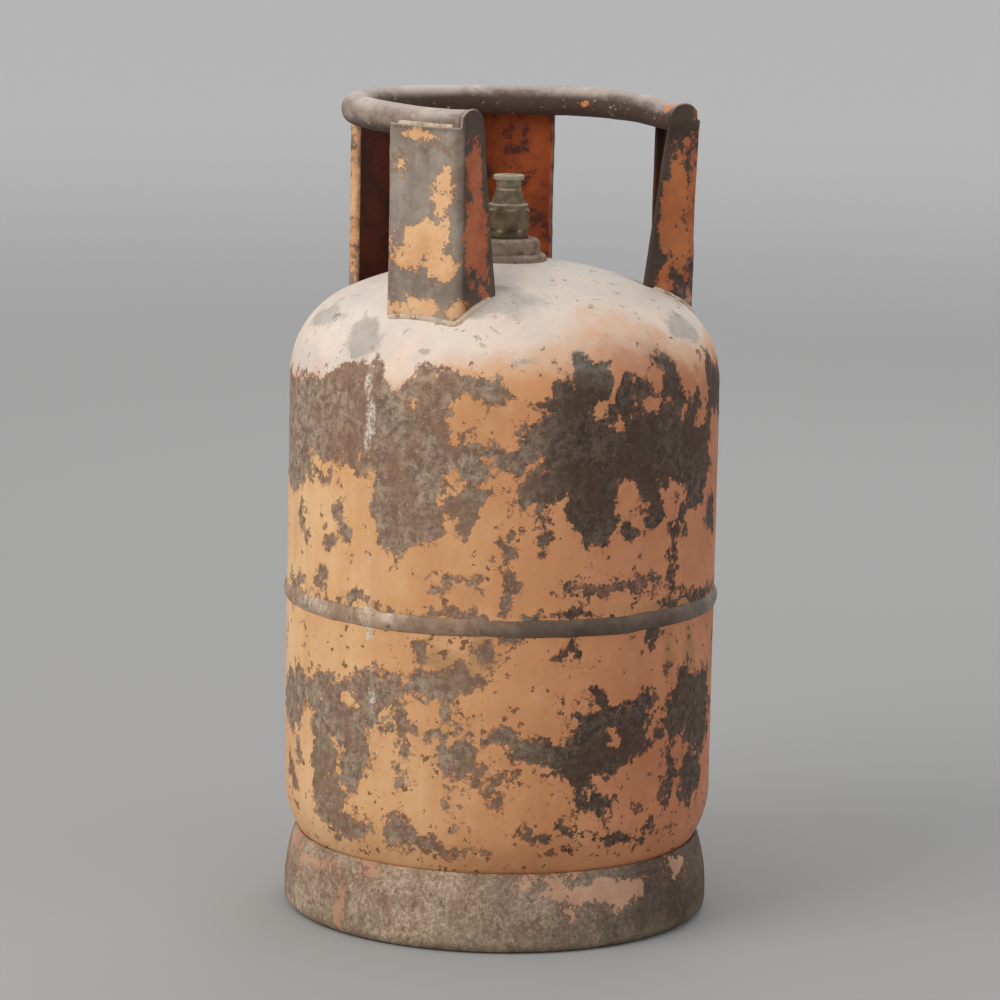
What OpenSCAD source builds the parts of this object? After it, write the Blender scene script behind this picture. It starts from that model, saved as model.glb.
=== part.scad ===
// Steel gas cylinder with a rolled foot ring, a welded body of two pressed halves,
// a self-closing brass valve and a guard of four pressed posts with a bent tube handle.
// Millimetres. The origin is on the floor under the body's axis and +Z is up.
// The gap in the handle, through which the valve is reached, faces -Y.

/* [Body] */
// Outside radius of the body
body_r = 150; // [120:1:180]
// Thickness of the body's steel
wall_t = 3; // [2:0.1:4]
// Outside knuckle radius of the two domed ends
knuckle_r = 65; // [50:1:80]
// Outside crown radius of the two domed ends
crown_r = 272; // [240:1:330]
// Straight wall of the lower half, from its domed end to the seam
lower_straight = 136; // [100:1:200]
// Straight wall of the upper half, from the seam to its domed end
upper_straight = 150; // [100:1:220]
// Air between the lower domed end and the floor
floor_gap = 6; // [3:0.5:20]

/* [Seam] */
// Height of the weld bead on the outside
bead_h = 12; // [8:0.5:16]
// How far the bead stands out of the wall
bead_out = 2; // [1:0.1:3]
// Width of the groove that the weld fills, at the surface
groove_w = 4; // [2:0.5:6]
// How far the lower half's set-in rim reaches up inside the upper half
rim_len = 14; // [8:1:25]
// Gap between the set-in rim and the upper half's wall
rim_fit = 0.2; // [0.1:0.05:0.5]

/* [Foot ring] */
// From the body's side in to the foot ring's side
foot_inset = 0.2; // [0:0.1:3]
// Height of the foot ring
foot_h = 54; // [45:1:60]
// Thickness of the foot ring's sheet
foot_t = 3; // [2:0.1:4]
// Outside radius of the rolled lower edge
foot_roll_r = 8; // [5:0.5:12]
// Width of the flat that stands on the floor
foot_flat_w = 9; // [5:0.5:20]
// Height at which the ring is widest
foot_wide_z = 12; // [12:1:20]
// Gap between the ring's top edge and the domed end
foot_fit = 0.2; // [0.1:0.05:0.5]
// Number of weld stitches inside the ring
foot_stitches = 6; // [3:1:8]
// Length of each stitch, in degrees round the ring
foot_stitch_deg = 20; // [10:1:30]
// Depth of the stitches below the ring's top edge
foot_stitch_h = 8; // [5:1:12]
// Gap between a stitch and the two sheets, where it has melted into them
stitch_gap = 0.05; // [0.01:0.01:0.08]

/* [Valve boss] */
// Outside radius of the boss's collar
boss_r = 23; // [20:0.5:28]
// Height of the collar above the dome
boss_h = 14; // [10:0.5:20]
// Rounding of the collar's top edge
boss_round = 4; // [2:0.5:6]
// Radius of the spigot that goes through the dome
spigot_r = 18; // [16.5:0.5:19]
// Gap round the spigot
spigot_fit = 0.3; // [0.1:0.1:0.5]
// How far the spigot reaches below the dome's inside
spigot_below = 6; // [3:1:12]
// Radius of the fillet weld round the collar
boss_weld_r = 5; // [3:0.5:7]

/* [Valve] */
// Radius of the valve's shank in the boss
shank_r = 13; // [12:0.1:14]
// Gap round the shank
shank_fit = 0.1; // [0.05:0.05:0.3]
// How far the shank reaches below the boss
shank_below = 5; // [2:1:12]
// Radius of the round neck under the hexagon
under_neck_r = 14.2; // [13.8:0.1:15.5]
// Height of the neck under the hexagon
under_neck_h = 6; // [4:0.5:10]
// Width of the hexagon across its flats
hex_af = 28; // [27:0.5:32]
// Height of the hexagon
hex_h = 14.5; // [10:0.5:20]
// How far the hexagon is turned from the handle's gap, in degrees
hex_turn = -33; // [-60:1:60]
// Height of the round shoulder above the hexagon
shoulder_h = 3; // [2:0.5:5]
// Radius of the cone's foot
cone_r = 12; // [11:0.5:13.5]
// Height of the cone
cone_h = 10.5; // [8:0.5:16]
// Radius of the neck that the regulator grips
neck_r = 8.5; // [8:0.1:9.5]
// Height of that neck
neck_h = 6.2; // [4:0.2:10]
// Radius of the lip on top
lip_r = 10.6; // [10:0.1:12]
// Thickness of the lip
lip_h = 3.4; // [3:0.1:5]
// Rounding of the lip's edges
lip_round = 0.8; // [0.3:0.1:1.2]
// Radius of the mouth
mouth_r = 6; // [5.5:0.1:6.5]
// Depth of the mouth
mouth_depth = 12; // [9:0.5:14]
// Radius of the hole through the seat
orifice_r = 4; // [3.5:0.1:4.5]
// Thickness of the seat
seat_t = 4; // [3:0.5:6]
// Radius of the chamber under the seat
chamber_r = 7.5; // [7:0.1:8]

/* [Valve parts] */
// Thickness of the rubber ring in the mouth
mouth_seal_t = 3; // [2:0.5:4]
// Radius of the hole in that ring
mouth_seal_hole_r = 4.2; // [3.5:0.1:5]
// Gap round a rubber ring, and round the retainer
seal_fit = 0.05; // [0.02:0.01:0.2]
// Gap round the poppet's head, through which the gas flows
poppet_fit = 0.9; // [0.3:0.1:1.5]
// Thickness of the poppet's head
poppet_t = 2.5; // [2:0.5:4]
// Radius of the pin that the regulator pushes
pin_r = 2.2; // [1.5:0.1:3]
// How far the pin's end lies below the top of the lip
pin_below = 6; // [2:0.5:8]
// Thickness of the rubber ring that closes the seat
poppet_seal_t = 2.5; // [2:0.5:4]
// Gap between that ring and the seat
poppet_gap = 0.3; // [0.1:0.05:0.5]
// Radius of the poppet's tail
tail_r = 2; // [1.5:0.1:2.5]
// Running gap round the tail, in its guide
tail_fit = 0.06; // [0.02:0.01:0.1]
// How far the tail reaches below its guide
tail_below = 2; // [0.5:0.5:6]
// Length of the spring as fitted
spring_len = 16; // [12:0.5:22]
// Thickness of the spring's wire
wire_d = 0.9; // [0.6:0.1:1.2]
// Middle radius of the spring's coils
coil_r = 4.6; // [4:0.1:5.5]
// Number of the spring's turns
coil_turns = 6; // [4:1:8]
// Gap at each end of the spring
spring_gap = 0.1; // [0.05:0.05:0.3]
// Thickness of the retainer that the spring stands on
retainer_t = 4; // [3:0.5:6]
// Number of gas holes in the retainer
gas_holes = 4; // [3:1:6]
// Radius of each gas hole
gas_hole_r = 1.2; // [0.8:0.1:1.4]

/* [Guard] */
// From the body's side in to the outer face of the posts
guard_inset = 25.5; // [20:0.5:40]
// How far the guard sits off the body's axis, along X
guard_off_x = 3.8; // [-6:0.1:6]
// How far the guard sits off the body's axis, along Y
guard_off_y = -3.2; // [-6:0.1:6]
// Height of the guard's top above the dome's middle
guard_rise = 112.5; // [90:0.5:150]
// Outside diameter of the handle's tube
tube_d = 21.3; // [18:0.1:26]
// Wall of the handle's tube
tube_t = 2.6; // [2:0.1:4]
// Angle from the gap's middle to each post beside the gap
end_post_deg = 70.5; // [55:0.5:80]
// Angle from the gap's middle to the rear post on the +X side
rear_post_deg = 140; // [130:0.5:150]
// Angle from the gap's middle to the rear post on the -X side
far_post_deg = 165.5; // [150:0.5:175]

/* [Posts] */
// Width of a post's outer face
post_w = 57; // [45:1:70]
// Thickness of the posts' sheet
post_t = 3; // [2:0.1:4]
// Outside radius of the posts' bends
bend_r = 5; // [4:0.5:8]
// How far the flank beside the gap leans open, in degrees
flank_lean = 10; // [0:1:20]
// Depth of the deep flank at the dome, from the post's face
flank_foot_d = 42; // [32:1:50]
// Depth of a rear post's deep flank at its top
flank_top_d = 24; // [15:1:30]
// Depth of the short lip, from the post's face
lip_d = 10; // [8:0.5:20]
// How far the posts' faces stop below the middle of the tube
face_drop = 1; // [0.5:0.5:6]
// Gap between a post's face and the tube, which the weld bridges
face_gap = 0.1; // [0.05:0.05:0.5]
// Margin of the round tab that closes the tube's end
tab_margin = 0.5; // [0:0.5:3]
// Gap between the tube and the edges of the sheet under it
tube_fit = 0.3; // [0.1:0.1:1]
// Radius of the weld beads at the posts' feet
foot_bead_r = 4.5; // [3:0.5:6]
// From a post's surface out to the middle line of its foot bead
foot_bead_off = 0.5; // [0.3:0.1:1]
// Radius of the weld beads between the posts and the tube
tube_bead_r = 3; // [2:0.5:4]

/* [Hidden] */
$fn = 180;

rust = "#6b5a4e";
orange = "#c98552";
dusty = "#d8c2ae";
brass = "#6f6a50";
rubber = "#2a2826";
steel = "#8d8b86";

// The domed ends: the crown is a sphere and the knuckle a ring, and they meet smoothly.
crown_back = sqrt(pow(crown_r - knuckle_r, 2) - pow(body_r - knuckle_r, 2));
dome_depth = crown_r - crown_back;
knuckle_x = body_r - knuckle_r;
blend_deg = asin(knuckle_x / (crown_r - knuckle_r));
low_tan_z = floor_gap + dome_depth;
seam_z = low_tan_z + lower_straight;
up_tan_z = seam_z + upper_straight;
apex_z = up_tan_z + dome_depth;
far = 2 * (body_r + crown_r);
// How far two shapes of one piece run into each other, so that they are one solid.
knit = 0.1;
// How far each half of the handle is drawn past the back, where both are cut, in degrees.
half_spare_deg = 5;
// How far a cut runs on past what it cuts.
spare = 1;
// Steps in which a sheet's bend is drawn.
bend_steps = 8;
// Facets of the crown's circle, of a turned cutting tool, of a tube and of a bead.
crown_fn = 720;
tool_fn = 360;
tube_fn = 96;
bead_fn = 48;

// Height of a dome's outside above its straight wall, at radius r.
function dome_rise(r) = r > crown_r * sin(blend_deg)
  ? sqrt(max(0, pow(knuckle_r, 2) - pow(r - knuckle_x, 2)))
  : sqrt(pow(crown_r, 2) - pow(r, 2)) - crown_back;
// Radius of the lower end's knuckle at height z above the floor.
function low_radius(z) = knuckle_x + sqrt(pow(knuckle_r, 2) - pow(low_tan_z - z, 2));
function top_z(x, y) = up_tan_z + dome_rise(norm([x, y]));

// Guard
tube_r = tube_d / 2;
face_r = body_r - guard_inset;
ring_r = face_r - post_t - face_gap - tube_r;
ring_z = apex_z + guard_rise - tube_r;
face_top_z = ring_z - face_drop;
under_tube_z = ring_z - tube_r - tube_fit;
bend_x = post_w / 2 - bend_r;
bend_y = bend_r - face_r;
tab_r = tube_r + tab_margin;
tube_u = (face_r - bend_r - ring_r) / cos(flank_lean) + (bend_r - post_t / 2) * tan(flank_lean);
flank_foot_u = flank_foot_d - bend_r;
flank_foot_z = up_tan_z + dome_rise(face_r - flank_foot_d);
// Each post: its angle, 1 or -1 for the side of its deep flank, and the flank's lean.
POSTS = [
  [-end_post_deg, 1, flank_lean],
  [end_post_deg, -1, flank_lean],
  [rear_post_deg, 1, 0],
  [-far_post_deg, -1, 0]
];

// Foot ring
foot_r = body_r - foot_inset;
foot_top_in = low_radius(foot_h) + foot_fit;
foot_sweep = foot_r - foot_t - foot_top_in;
foot_arc_in = (pow(foot_h - foot_wide_z, 2) + pow(foot_sweep, 2)) / (2 * foot_sweep);
foot_arc_r = foot_arc_in + foot_t;

// Valve, from the boss upwards
hole_r = spigot_r + spigot_fit;
boss_seat_z = up_tan_z + dome_rise(hole_r);
boss_top_z = apex_z + boss_h;
boss_end_z = boss_seat_z - wall_t - spigot_below;
hex_z = boss_top_z + under_neck_h;
shoulder_z = hex_z + hex_h;
cone_z = shoulder_z + shoulder_h;
neck_z = cone_z + cone_h;
lip_z = neck_z + neck_h;
valve_top_z = lip_z + lip_h;
ledge_z = valve_top_z - mouth_depth;
seat_z = ledge_z - seat_t;
shank_end_z = boss_end_z - shank_below;
shoulder_r = hex_af / 2;
seal_top_z = seat_z - poppet_gap;
head_top_z = seal_top_z - poppet_seal_t;
head_low_z = head_top_z - poppet_t;
retainer_top_z = head_low_z - spring_len;
gas_hole_at = (tail_r + chamber_r) / 2;
poppet_r = chamber_r - poppet_fit;

// ---------- shared shapes ----------

// Half section of a domed end, drawn upwards from its straight wall.
module dome_2d(inset = 0) {
  // A point on the line where crown and knuckle meet, which both are cut along.
  outer = [far * sin(blend_deg), far * cos(blend_deg) - crown_back];
  intersection() {
    translate([0, -crown_back]) circle(crown_r - inset, $fn = crown_fn);
    polygon([[0, 0], [knuckle_x, 0], outer, [0, far]]);
  }
  intersection() {
    translate([knuckle_x, 0]) circle(knuckle_r - inset, $fn = tool_fn);
    polygon([[knuckle_x, 0], [far, 0], outer]);
  }
}

// Everything inside the upper half's outer surface, for what stands on the dome.
module top_dome() {
  translate([0, 0, up_tan_z]) rotate_extrude($fn = tool_fn) dome_2d();
  translate([0, 0, seam_z]) cylinder(r = body_r, h = upper_straight);
}

// Points along an arc, for the bends of a sheet.
function arc(centre, r, from, to) =
  [for (i = [0 : bend_steps]) let (a = from + (to - from) * i / bend_steps)
    centre + r * [cos(a), sin(a)]];

// A round bar from one point to another.
module bar(p, q, r) {
  d = q - p;
  translate(p) rotate([0, acos(d[2] / norm(d)), atan2(d[1], d[0])])
    cylinder(r = r, h = norm(d), $fn = bead_fn);
}

// ---------- body ----------

module lower_shell() {
  z_low = seam_z - groove_w / 2;
  z_in = seam_z + groove_w / 2;
  rim_r = body_r - wall_t - rim_fit;
  color(orange) rotate_extrude() {
    difference() {
      translate([0, low_tan_z]) mirror([0, 1]) dome_2d();
      translate([0, low_tan_z]) mirror([0, 1]) dome_2d(wall_t);
    }
    polygon([[body_r - wall_t, low_tan_z], [body_r, low_tan_z], [body_r, z_low],
      [rim_r, z_in], [rim_r, z_in + rim_len], [rim_r - wall_t, z_in + rim_len],
      [rim_r - wall_t, z_in], [body_r - wall_t, z_low]]);
  }
}

module upper_shell() {
  z_edge = seam_z + groove_w / 2;
  color(dusty) rotate_extrude() difference() {
    union() {
      translate([0, up_tan_z]) dome_2d();
      polygon([[0, z_edge], [body_r, z_edge], [body_r, up_tan_z], [0, up_tan_z]]);
    }
    translate([0, up_tan_z]) dome_2d(wall_t);
    translate([0, z_edge - spare]) square([body_r - wall_t, up_tan_z - z_edge + spare]);
    square([hole_r, far]);
  }
}

// The weld fills the groove and stands out as a flat bead.
module seam_weld() {
  bead_arc_r = (pow(bead_h / 2, 2) + pow(bead_out, 2)) / (2 * bead_out);
  color(rust) rotate_extrude() {
    intersection() {
      translate([body_r + bead_out - bead_arc_r, seam_z]) circle(bead_arc_r);
      translate([body_r, seam_z - bead_h]) square([bead_h, 2 * bead_h]);
    }
    polygon([[body_r, seam_z - groove_w / 2],
      [body_r, seam_z + groove_w / 2],
      [body_r - wall_t - rim_fit, seam_z + groove_w / 2]]);
  }
}

// ---------- foot ring ----------

module foot_ring_2d() {
  intersection() {
    translate([foot_r - foot_arc_r, foot_wide_z]) difference() {
      circle(foot_arc_r);
      circle(foot_arc_in);
    }
    translate([max(0, foot_r - foot_arc_r), foot_wide_z])
      square([foot_r, foot_h - foot_wide_z]);
  }
  translate([foot_r - foot_t, foot_roll_r]) square([foot_t, foot_wide_z - foot_roll_r]);
  translate([foot_r - foot_roll_r, foot_roll_r]) intersection() {
    difference() {
      circle(foot_roll_r);
      circle(foot_roll_r - foot_t);
    }
    translate([0, -foot_roll_r]) square(foot_roll_r);
  }
  translate([foot_r - foot_roll_r - foot_flat_w, 0]) square([foot_flat_w, foot_t]);
}

module foot_ring() {
  color(rust) rotate_extrude() foot_ring_2d();
}

// Stitches in the narrow wedge between the ring's inside and the domed end.
module foot_ring_welds() {
  color(rust) for (i = [0 : foot_stitches - 1])
    rotate([0, 0, i * 360 / foot_stitches])
      rotate_extrude(angle = foot_stitch_deg) difference() {
        translate([knuckle_x, foot_h - foot_stitch_h]) square([foot_r, foot_stitch_h - foot_fit]);
        translate([0, low_tan_z]) mirror([0, 1]) dome_2d(-stitch_gap);
        translate([foot_r - foot_arc_r, foot_wide_z]) difference() {
          circle(far);
          circle(foot_arc_in - stitch_gap);
        }
      }
}

// ---------- boss and valve ----------

module valve_boss() {
  color(rust) rotate_extrude() difference() {
    union() {
      translate([0, boss_seat_z]) square([boss_r, boss_top_z - boss_seat_z - boss_round]);
      translate([0, boss_seat_z]) square([boss_r - boss_round, boss_top_z - boss_seat_z]);
      translate([boss_r - boss_round, boss_top_z - boss_round]) circle(boss_round);
      translate([0, boss_end_z]) square([spigot_r, boss_seat_z - boss_end_z]);
    }
    translate([0, boss_end_z - spare]) square([shank_r + shank_fit, far]);
  }
}

module boss_weld() {
  color(rust) rotate_extrude() difference() {
    translate([boss_r, up_tan_z + dome_rise(boss_r)]) circle(boss_weld_r, $fn = bead_fn);
    translate([0, up_tan_z - spare]) square([boss_r, far]);
    translate([0, up_tan_z]) dome_2d();
  }
}

module valve_body() {
  hex_sides = 6;
  color(brass) difference() {
    union() {
      rotate_extrude() {
        translate([0, shank_end_z]) square([shank_r, boss_top_z + knit - shank_end_z]);
        translate([0, boss_top_z]) square([under_neck_r, under_neck_h]);
        translate([0, hex_z - knit]) square([cone_r, hex_h + 2 * knit]);
        translate([0, shoulder_z]) square([shoulder_r, shoulder_h]);
        polygon([[0, cone_z], [cone_r, cone_z], [neck_r, neck_z], [0, neck_z]]);
        translate([0, neck_z]) square([neck_r, neck_h]);
        translate([0, lip_z]) square([lip_r - lip_round, lip_h]);
        translate([0, lip_z + lip_round]) square([lip_r, lip_h - 2 * lip_round]);
        for (z = [lip_z + lip_round, valve_top_z - lip_round])
          translate([lip_r - lip_round, z]) circle(lip_round, $fn = bead_fn);
      }
      translate([0, 0, hex_z]) rotate([0, 0, hex_turn + 180 / hex_sides])
        cylinder(r = shoulder_r / cos(180 / hex_sides), h = hex_h, $fn = hex_sides);
    }
    translate([0, 0, ledge_z]) cylinder(r = mouth_r, h = mouth_depth + spare);
    translate([0, 0, seat_z - spare]) cylinder(r = orifice_r, h = seat_t + 2 * spare);
    translate([0, 0, shank_end_z - spare])
      cylinder(r = chamber_r, h = seat_z - shank_end_z + spare);
  }
}

module mouth_seal() {
  color(rubber) translate([0, 0, ledge_z]) difference() {
    cylinder(r = mouth_r - seal_fit, h = mouth_seal_t);
    translate([0, 0, -spare]) cylinder(r = mouth_seal_hole_r, h = mouth_seal_t + 2 * spare);
  }
}

module poppet() {
  tail_end_z = retainer_top_z - retainer_t - tail_below;
  pin_end_z = valve_top_z - pin_below;
  color(steel) {
    translate([0, 0, tail_end_z]) cylinder(r = tail_r, h = head_low_z - tail_end_z);
    translate([0, 0, head_low_z]) cylinder(r = poppet_r, h = poppet_t);
    translate([0, 0, head_top_z]) cylinder(r = pin_r, h = pin_end_z - head_top_z);
  }
}

module poppet_seal() {
  color(rubber) translate([0, 0, head_top_z]) difference() {
    cylinder(r = poppet_r, h = poppet_seal_t);
    translate([0, 0, -spare]) cylinder(r = pin_r + seal_fit, h = poppet_seal_t + 2 * spare);
  }
}

module spring_retainer() {
  color(steel) translate([0, 0, retainer_top_z - retainer_t]) difference() {
    cylinder(r = chamber_r - seal_fit, h = retainer_t);
    translate([0, 0, -spare]) cylinder(r = tail_r + tail_fit, h = retainer_t + 2 * spare);
    for (i = [0 : gas_holes - 1]) rotate([0, 0, i * 360 / gas_holes])
      translate([gas_hole_at, 0, -spare])
        cylinder(r = gas_hole_r, h = retainer_t + 2 * spare);
  }
}

// A helix of round wire: a ring of points swept along the turns.
module poppet_spring() {
  sides = 8;
  per_turn = 16;
  rings = coil_turns * per_turn;
  low = retainer_top_z + spring_gap + wire_d / 2;
  rise = spring_len - 2 * spring_gap - wire_d;
  points = [for (i = [0 : rings], j = [0 : sides - 1])
    let (a = 360 * i / per_turn, b = 360 * j / sides,
      r = coil_r + wire_d / 2 * cos(b))
    [r * cos(a), r * sin(a), low + rise * i / rings + wire_d / 2 * sin(b)]];
  skin = [for (i = [0 : rings - 1], j = [0 : sides - 1])
    let (k = (j + 1) % sides)
    [i * sides + j, (i + 1) * sides + j, (i + 1) * sides + k, i * sides + k]];
  ends = [[for (j = [0 : sides - 1]) j],
    [for (j = [sides - 1 : -1 : 0]) rings * sides + j]];
  color(steel) polyhedron(points = points, faces = concat(skin, ends));
}

// ---------- guard ----------
// A post is drawn facing -Y with its deep flank on +X, and is then turned into place.

// Puts a post, or anything drawn with it, at its angle; side -1 mirrors it.
module at_post(deg, side) {
  translate([guard_off_x, guard_off_y, 0]) rotate([0, 0, deg])
    mirror([side < 0 ? 1 : 0, 0, 0]) children();
}

// Where a point of a post's plan comes to lie, on the dome.
function post_point(deg, side, p) =
  let (x = side * p[0], gx = guard_off_x + x * cos(deg) - p[1] * sin(deg),
    gy = guard_off_y + x * sin(deg) + p[1] * cos(deg))
  [gx, gy, top_z(gx, gy)];

// Plan of a whole post: the short lip, a bend, the face, a bend and the deep flank.
module post_plan(lean, flank_d) {
  near = [-bend_x, bend_y];
  deep = [bend_x, bend_y];
  across = [cos(lean), -sin(lean)];
  along = [sin(lean), cos(lean)];
  in_r = bend_r - post_t;
  lip_end = lip_d - bend_r;
  polygon(concat(
    [near + [-bend_r, lip_end]],
    arc(near, bend_r, 180, 270),
    arc(deep, bend_r, 270, 360 - lean),
    [deep + bend_r * across + flank_d * along, deep + in_r * across + flank_d * along],
    arc(deep, in_r, 360 - lean, 270),
    arc(near, in_r, 270, 180),
    [near + [-in_r, lip_end]]));
}

// Stands an outline, drawn inwards from the bend and upwards, in the flank's plane.
module in_flank(lean) {
  translate([bend_x, bend_y, 0]) rotate([0, 0, -lean]) translate([bend_r - post_t, 0, 0])
    rotate([90, 0, 90]) children();
}

// The pressed sheet, cut along the flank's slanted edge, which is top_u deep at top_z.
module channel(lean, top_z, top_u) {
  slope = (flank_foot_u - top_u) / (top_z - flank_foot_z);
  low_u = flank_foot_u + slope * (flank_foot_z - up_tan_z);
  difference() {
    translate([0, 0, up_tan_z]) linear_extrude(face_top_z - up_tan_z) post_plan(lean, low_u);
    translate([-bend_x - 2 * bend_r, bend_y, under_tube_z]) cube([2 * bend_r, lip_d, tube_d]);
    in_flank(lean) translate([0, 0, -spare]) linear_extrude(post_t + 2 * spare)
      polygon([[low_u, up_tan_z], [top_u, top_z], [top_u, ring_z], [low_u + spare, ring_z]]);
  }
}

// A post beside the gap: a round tab on its flank closes the tube's end.
module end_post(deg, side) {
  difference() {
    at_post(deg, side) {
      channel(flank_lean, ring_z, tube_u + tab_r);
      in_flank(flank_lean) translate([0, 0, knit]) linear_extrude(post_t - 2 * knit)
        intersection() {
          translate([tube_u, ring_z]) circle(tab_r, $fn = tube_fn);
          translate([tube_u - tab_r, face_top_z + knit]) square(2 * tab_r);
        }
      in_flank(flank_lean) translate([0, 0, knit]) linear_extrude(post_t - 2 * knit)
        translate([tube_u - tab_r / 2, face_top_z - tab_r / 2]) square([tab_r, tab_r]);
    }
    top_dome();
  }
}

// A rear post: both of its edges stop under the tube.
module rear_post(deg, side) {
  difference() {
    at_post(deg, side) difference() {
      channel(0, under_tube_z, flank_top_d - bend_r);
      in_flank(0) translate([0, 0, -spare]) linear_extrude(post_t + 2 * spare)
        translate([0, under_tube_z]) square([flank_foot_d, tube_d]);
    }
    top_dome();
  }
}

module guard_post_left() {
  color(rust) end_post(-end_post_deg, 1);
}

module guard_post_right() {
  color(orange) end_post(end_post_deg, -1);
}

module guard_post_rear() {
  color(orange) rear_post(rear_post_deg, 1);
}

module guard_post_far() {
  color(orange) rear_post(-far_post_deg, -1);
}

// Half of the bent bar: an arc from the back, and a straight run along its end post.
module half_bar(side, r) {
  half_deg = 180 - end_post_deg + half_spare_deg;
  intersection() {
    at_post(-side * end_post_deg, side) translate([0, 0, ring_z]) {
      rotate_extrude(angle = half_deg, start = 270 - half_deg, $fn = tool_fn)
        translate([ring_r, 0]) circle(r, $fn = tube_fn);
      translate([0, -ring_r, 0]) rotate([0, 90, 0]) cylinder(r = r, h = post_w, $fn = tube_fn);
    }
    translate([guard_off_x - (side > 0 ? far : 0), -far, ring_z - tube_d])
      cube([far, 2 * far, 2 * tube_d]);
  }
}

module handle_bar(r) {
  half_bar(1, r);
  half_bar(-1, r);
}

// The ends of the tube are cut to lie on the end posts' flanks.
module handle_ring() {
  color(rust) difference() {
    handle_bar(tube_r);
    handle_bar(tube_r - tube_t);
    for (side = [1, -1]) at_post(-side * end_post_deg, side)
      translate([bend_x, bend_y, ring_z]) rotate([0, 0, -flank_lean])
        translate([bend_r - post_t - face_gap, -tube_d, -tube_d])
          cube([post_w, 3 * tube_d, 2 * tube_d]);
  }
}

// Beads along the posts' top edges, against the outside of the tube.
module handle_welds() {
  color(rust) for (p = POSTS) difference() {
    at_post(p[0], p[1]) difference() {
      translate([-bend_x, post_t - face_r, face_top_z]) rotate([0, 90, 0])
        cylinder(r = tube_bead_r, h = 2 * bend_x, $fn = bead_fn);
      translate([-post_w, -2 * face_r, face_top_z - 2 * tube_bead_r])
        cube([2 * post_w, 2 * face_r, 2 * tube_bead_r]);
    }
    handle_bar(tube_r);
  }
}

// Beads along the foot of each post's face and of its deep flank.
module post_foot_welds() {
  out = bend_r + foot_bead_off;
  color(rust) for (p = POSTS) {
    lean = p[2];
    flank_a = [bend_x + out * cos(lean), bend_y - out * sin(lean)];
    flank_b = flank_a + (flank_foot_d - 2 * bend_r) * [sin(lean), cos(lean)];
    difference() {
      bar(post_point(p[0], p[1], [-bend_x, bend_y - out]),
        post_point(p[0], p[1], [bend_x, bend_y - out]), foot_bead_r);
      at_post(p[0], p[1]) translate([-post_w, -face_r, up_tan_z])
        cube([2 * post_w, 2 * foot_bead_r + spare, guard_rise]);
      top_dome();
    }
    difference() {
      bar(post_point(p[0], p[1], flank_a), post_point(p[0], p[1], flank_b), foot_bead_r);
      at_post(p[0], p[1]) translate([bend_x, bend_y, up_tan_z]) rotate([0, 0, -lean])
        translate([bend_r - 2 * foot_bead_r - spare, -2 * bend_r, 0])
          cube([2 * foot_bead_r + spare, flank_foot_d + 2 * bend_r, guard_rise]);
      top_dome();
    }
  }
}

foot_ring();
foot_ring_welds();
lower_shell();
upper_shell();
seam_weld();
valve_boss();
boss_weld();
guard_post_left();
guard_post_right();
guard_post_rear();
guard_post_far();
post_foot_welds();
handle_ring();
handle_welds();
valve_body();
mouth_seal();
poppet();
poppet_seal();
poppet_spring();
spring_retainer();
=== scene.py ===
# %% [markdown]
# # A rusty gas cylinder
# The real thing is two pressed steel halves, welded at the waist, on a rolled foot
# ring, with a brass valve inside a guard of four folded posts and one bent tube.
# It has stood outside for years: its orange paint is bleached, chipped and flaked.
#
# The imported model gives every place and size. The shapes could be kept as it has
# them, but those surfaces are perfect. So each visible piece is made again as a
# dense grid worked out with numpy, where dents, ripples and pits are small shifts.

# %% Load the frame
import math
from itertools import product

import bpy
import numpy as np
from mathutils import Matrix, Vector


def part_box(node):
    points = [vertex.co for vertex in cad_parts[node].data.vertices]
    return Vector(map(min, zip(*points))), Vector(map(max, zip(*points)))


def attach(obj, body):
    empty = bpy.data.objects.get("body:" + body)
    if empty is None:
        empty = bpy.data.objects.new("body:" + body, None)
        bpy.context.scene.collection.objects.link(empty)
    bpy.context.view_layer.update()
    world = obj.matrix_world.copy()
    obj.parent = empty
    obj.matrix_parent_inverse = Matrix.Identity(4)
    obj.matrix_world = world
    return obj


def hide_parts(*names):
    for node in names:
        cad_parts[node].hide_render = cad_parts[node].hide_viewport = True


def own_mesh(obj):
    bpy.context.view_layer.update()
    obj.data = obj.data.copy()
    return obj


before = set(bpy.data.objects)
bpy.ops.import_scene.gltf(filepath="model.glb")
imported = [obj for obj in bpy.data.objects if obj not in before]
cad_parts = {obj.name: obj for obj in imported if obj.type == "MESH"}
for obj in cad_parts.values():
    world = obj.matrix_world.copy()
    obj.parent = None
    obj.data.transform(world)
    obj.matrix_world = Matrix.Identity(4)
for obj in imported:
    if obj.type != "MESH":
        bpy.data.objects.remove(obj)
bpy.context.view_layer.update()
MM = 0.001
print("nodes:", len(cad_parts))

# %% [markdown]
# ## Sizes
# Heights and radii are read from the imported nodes' boxes. Only what a box can't
# tell, such as the radii of the domed ends, is written here.

# %% Sizes of the body
KNUCKLE = 65 * MM
CROWN = 272 * MM
WALL = 3 * MM
COLLAR_LIP = 4.7 * MM
body_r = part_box("lower_shell")[1][0]
seam_z = (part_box("seam_weld")[0][2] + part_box("seam_weld")[1][2]) / 2
foot_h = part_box("foot_ring")[1][2]
hole_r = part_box("valve_boss")[1][0] - COLLAR_LIP
knuckle_x = body_r - KNUCKLE
crown_back = math.sqrt((CROWN - KNUCKLE) ** 2 - knuckle_x ** 2)
blend_r = CROWN * knuckle_x / (CROWN - KNUCKLE)
dome_depth = CROWN - crown_back


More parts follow.
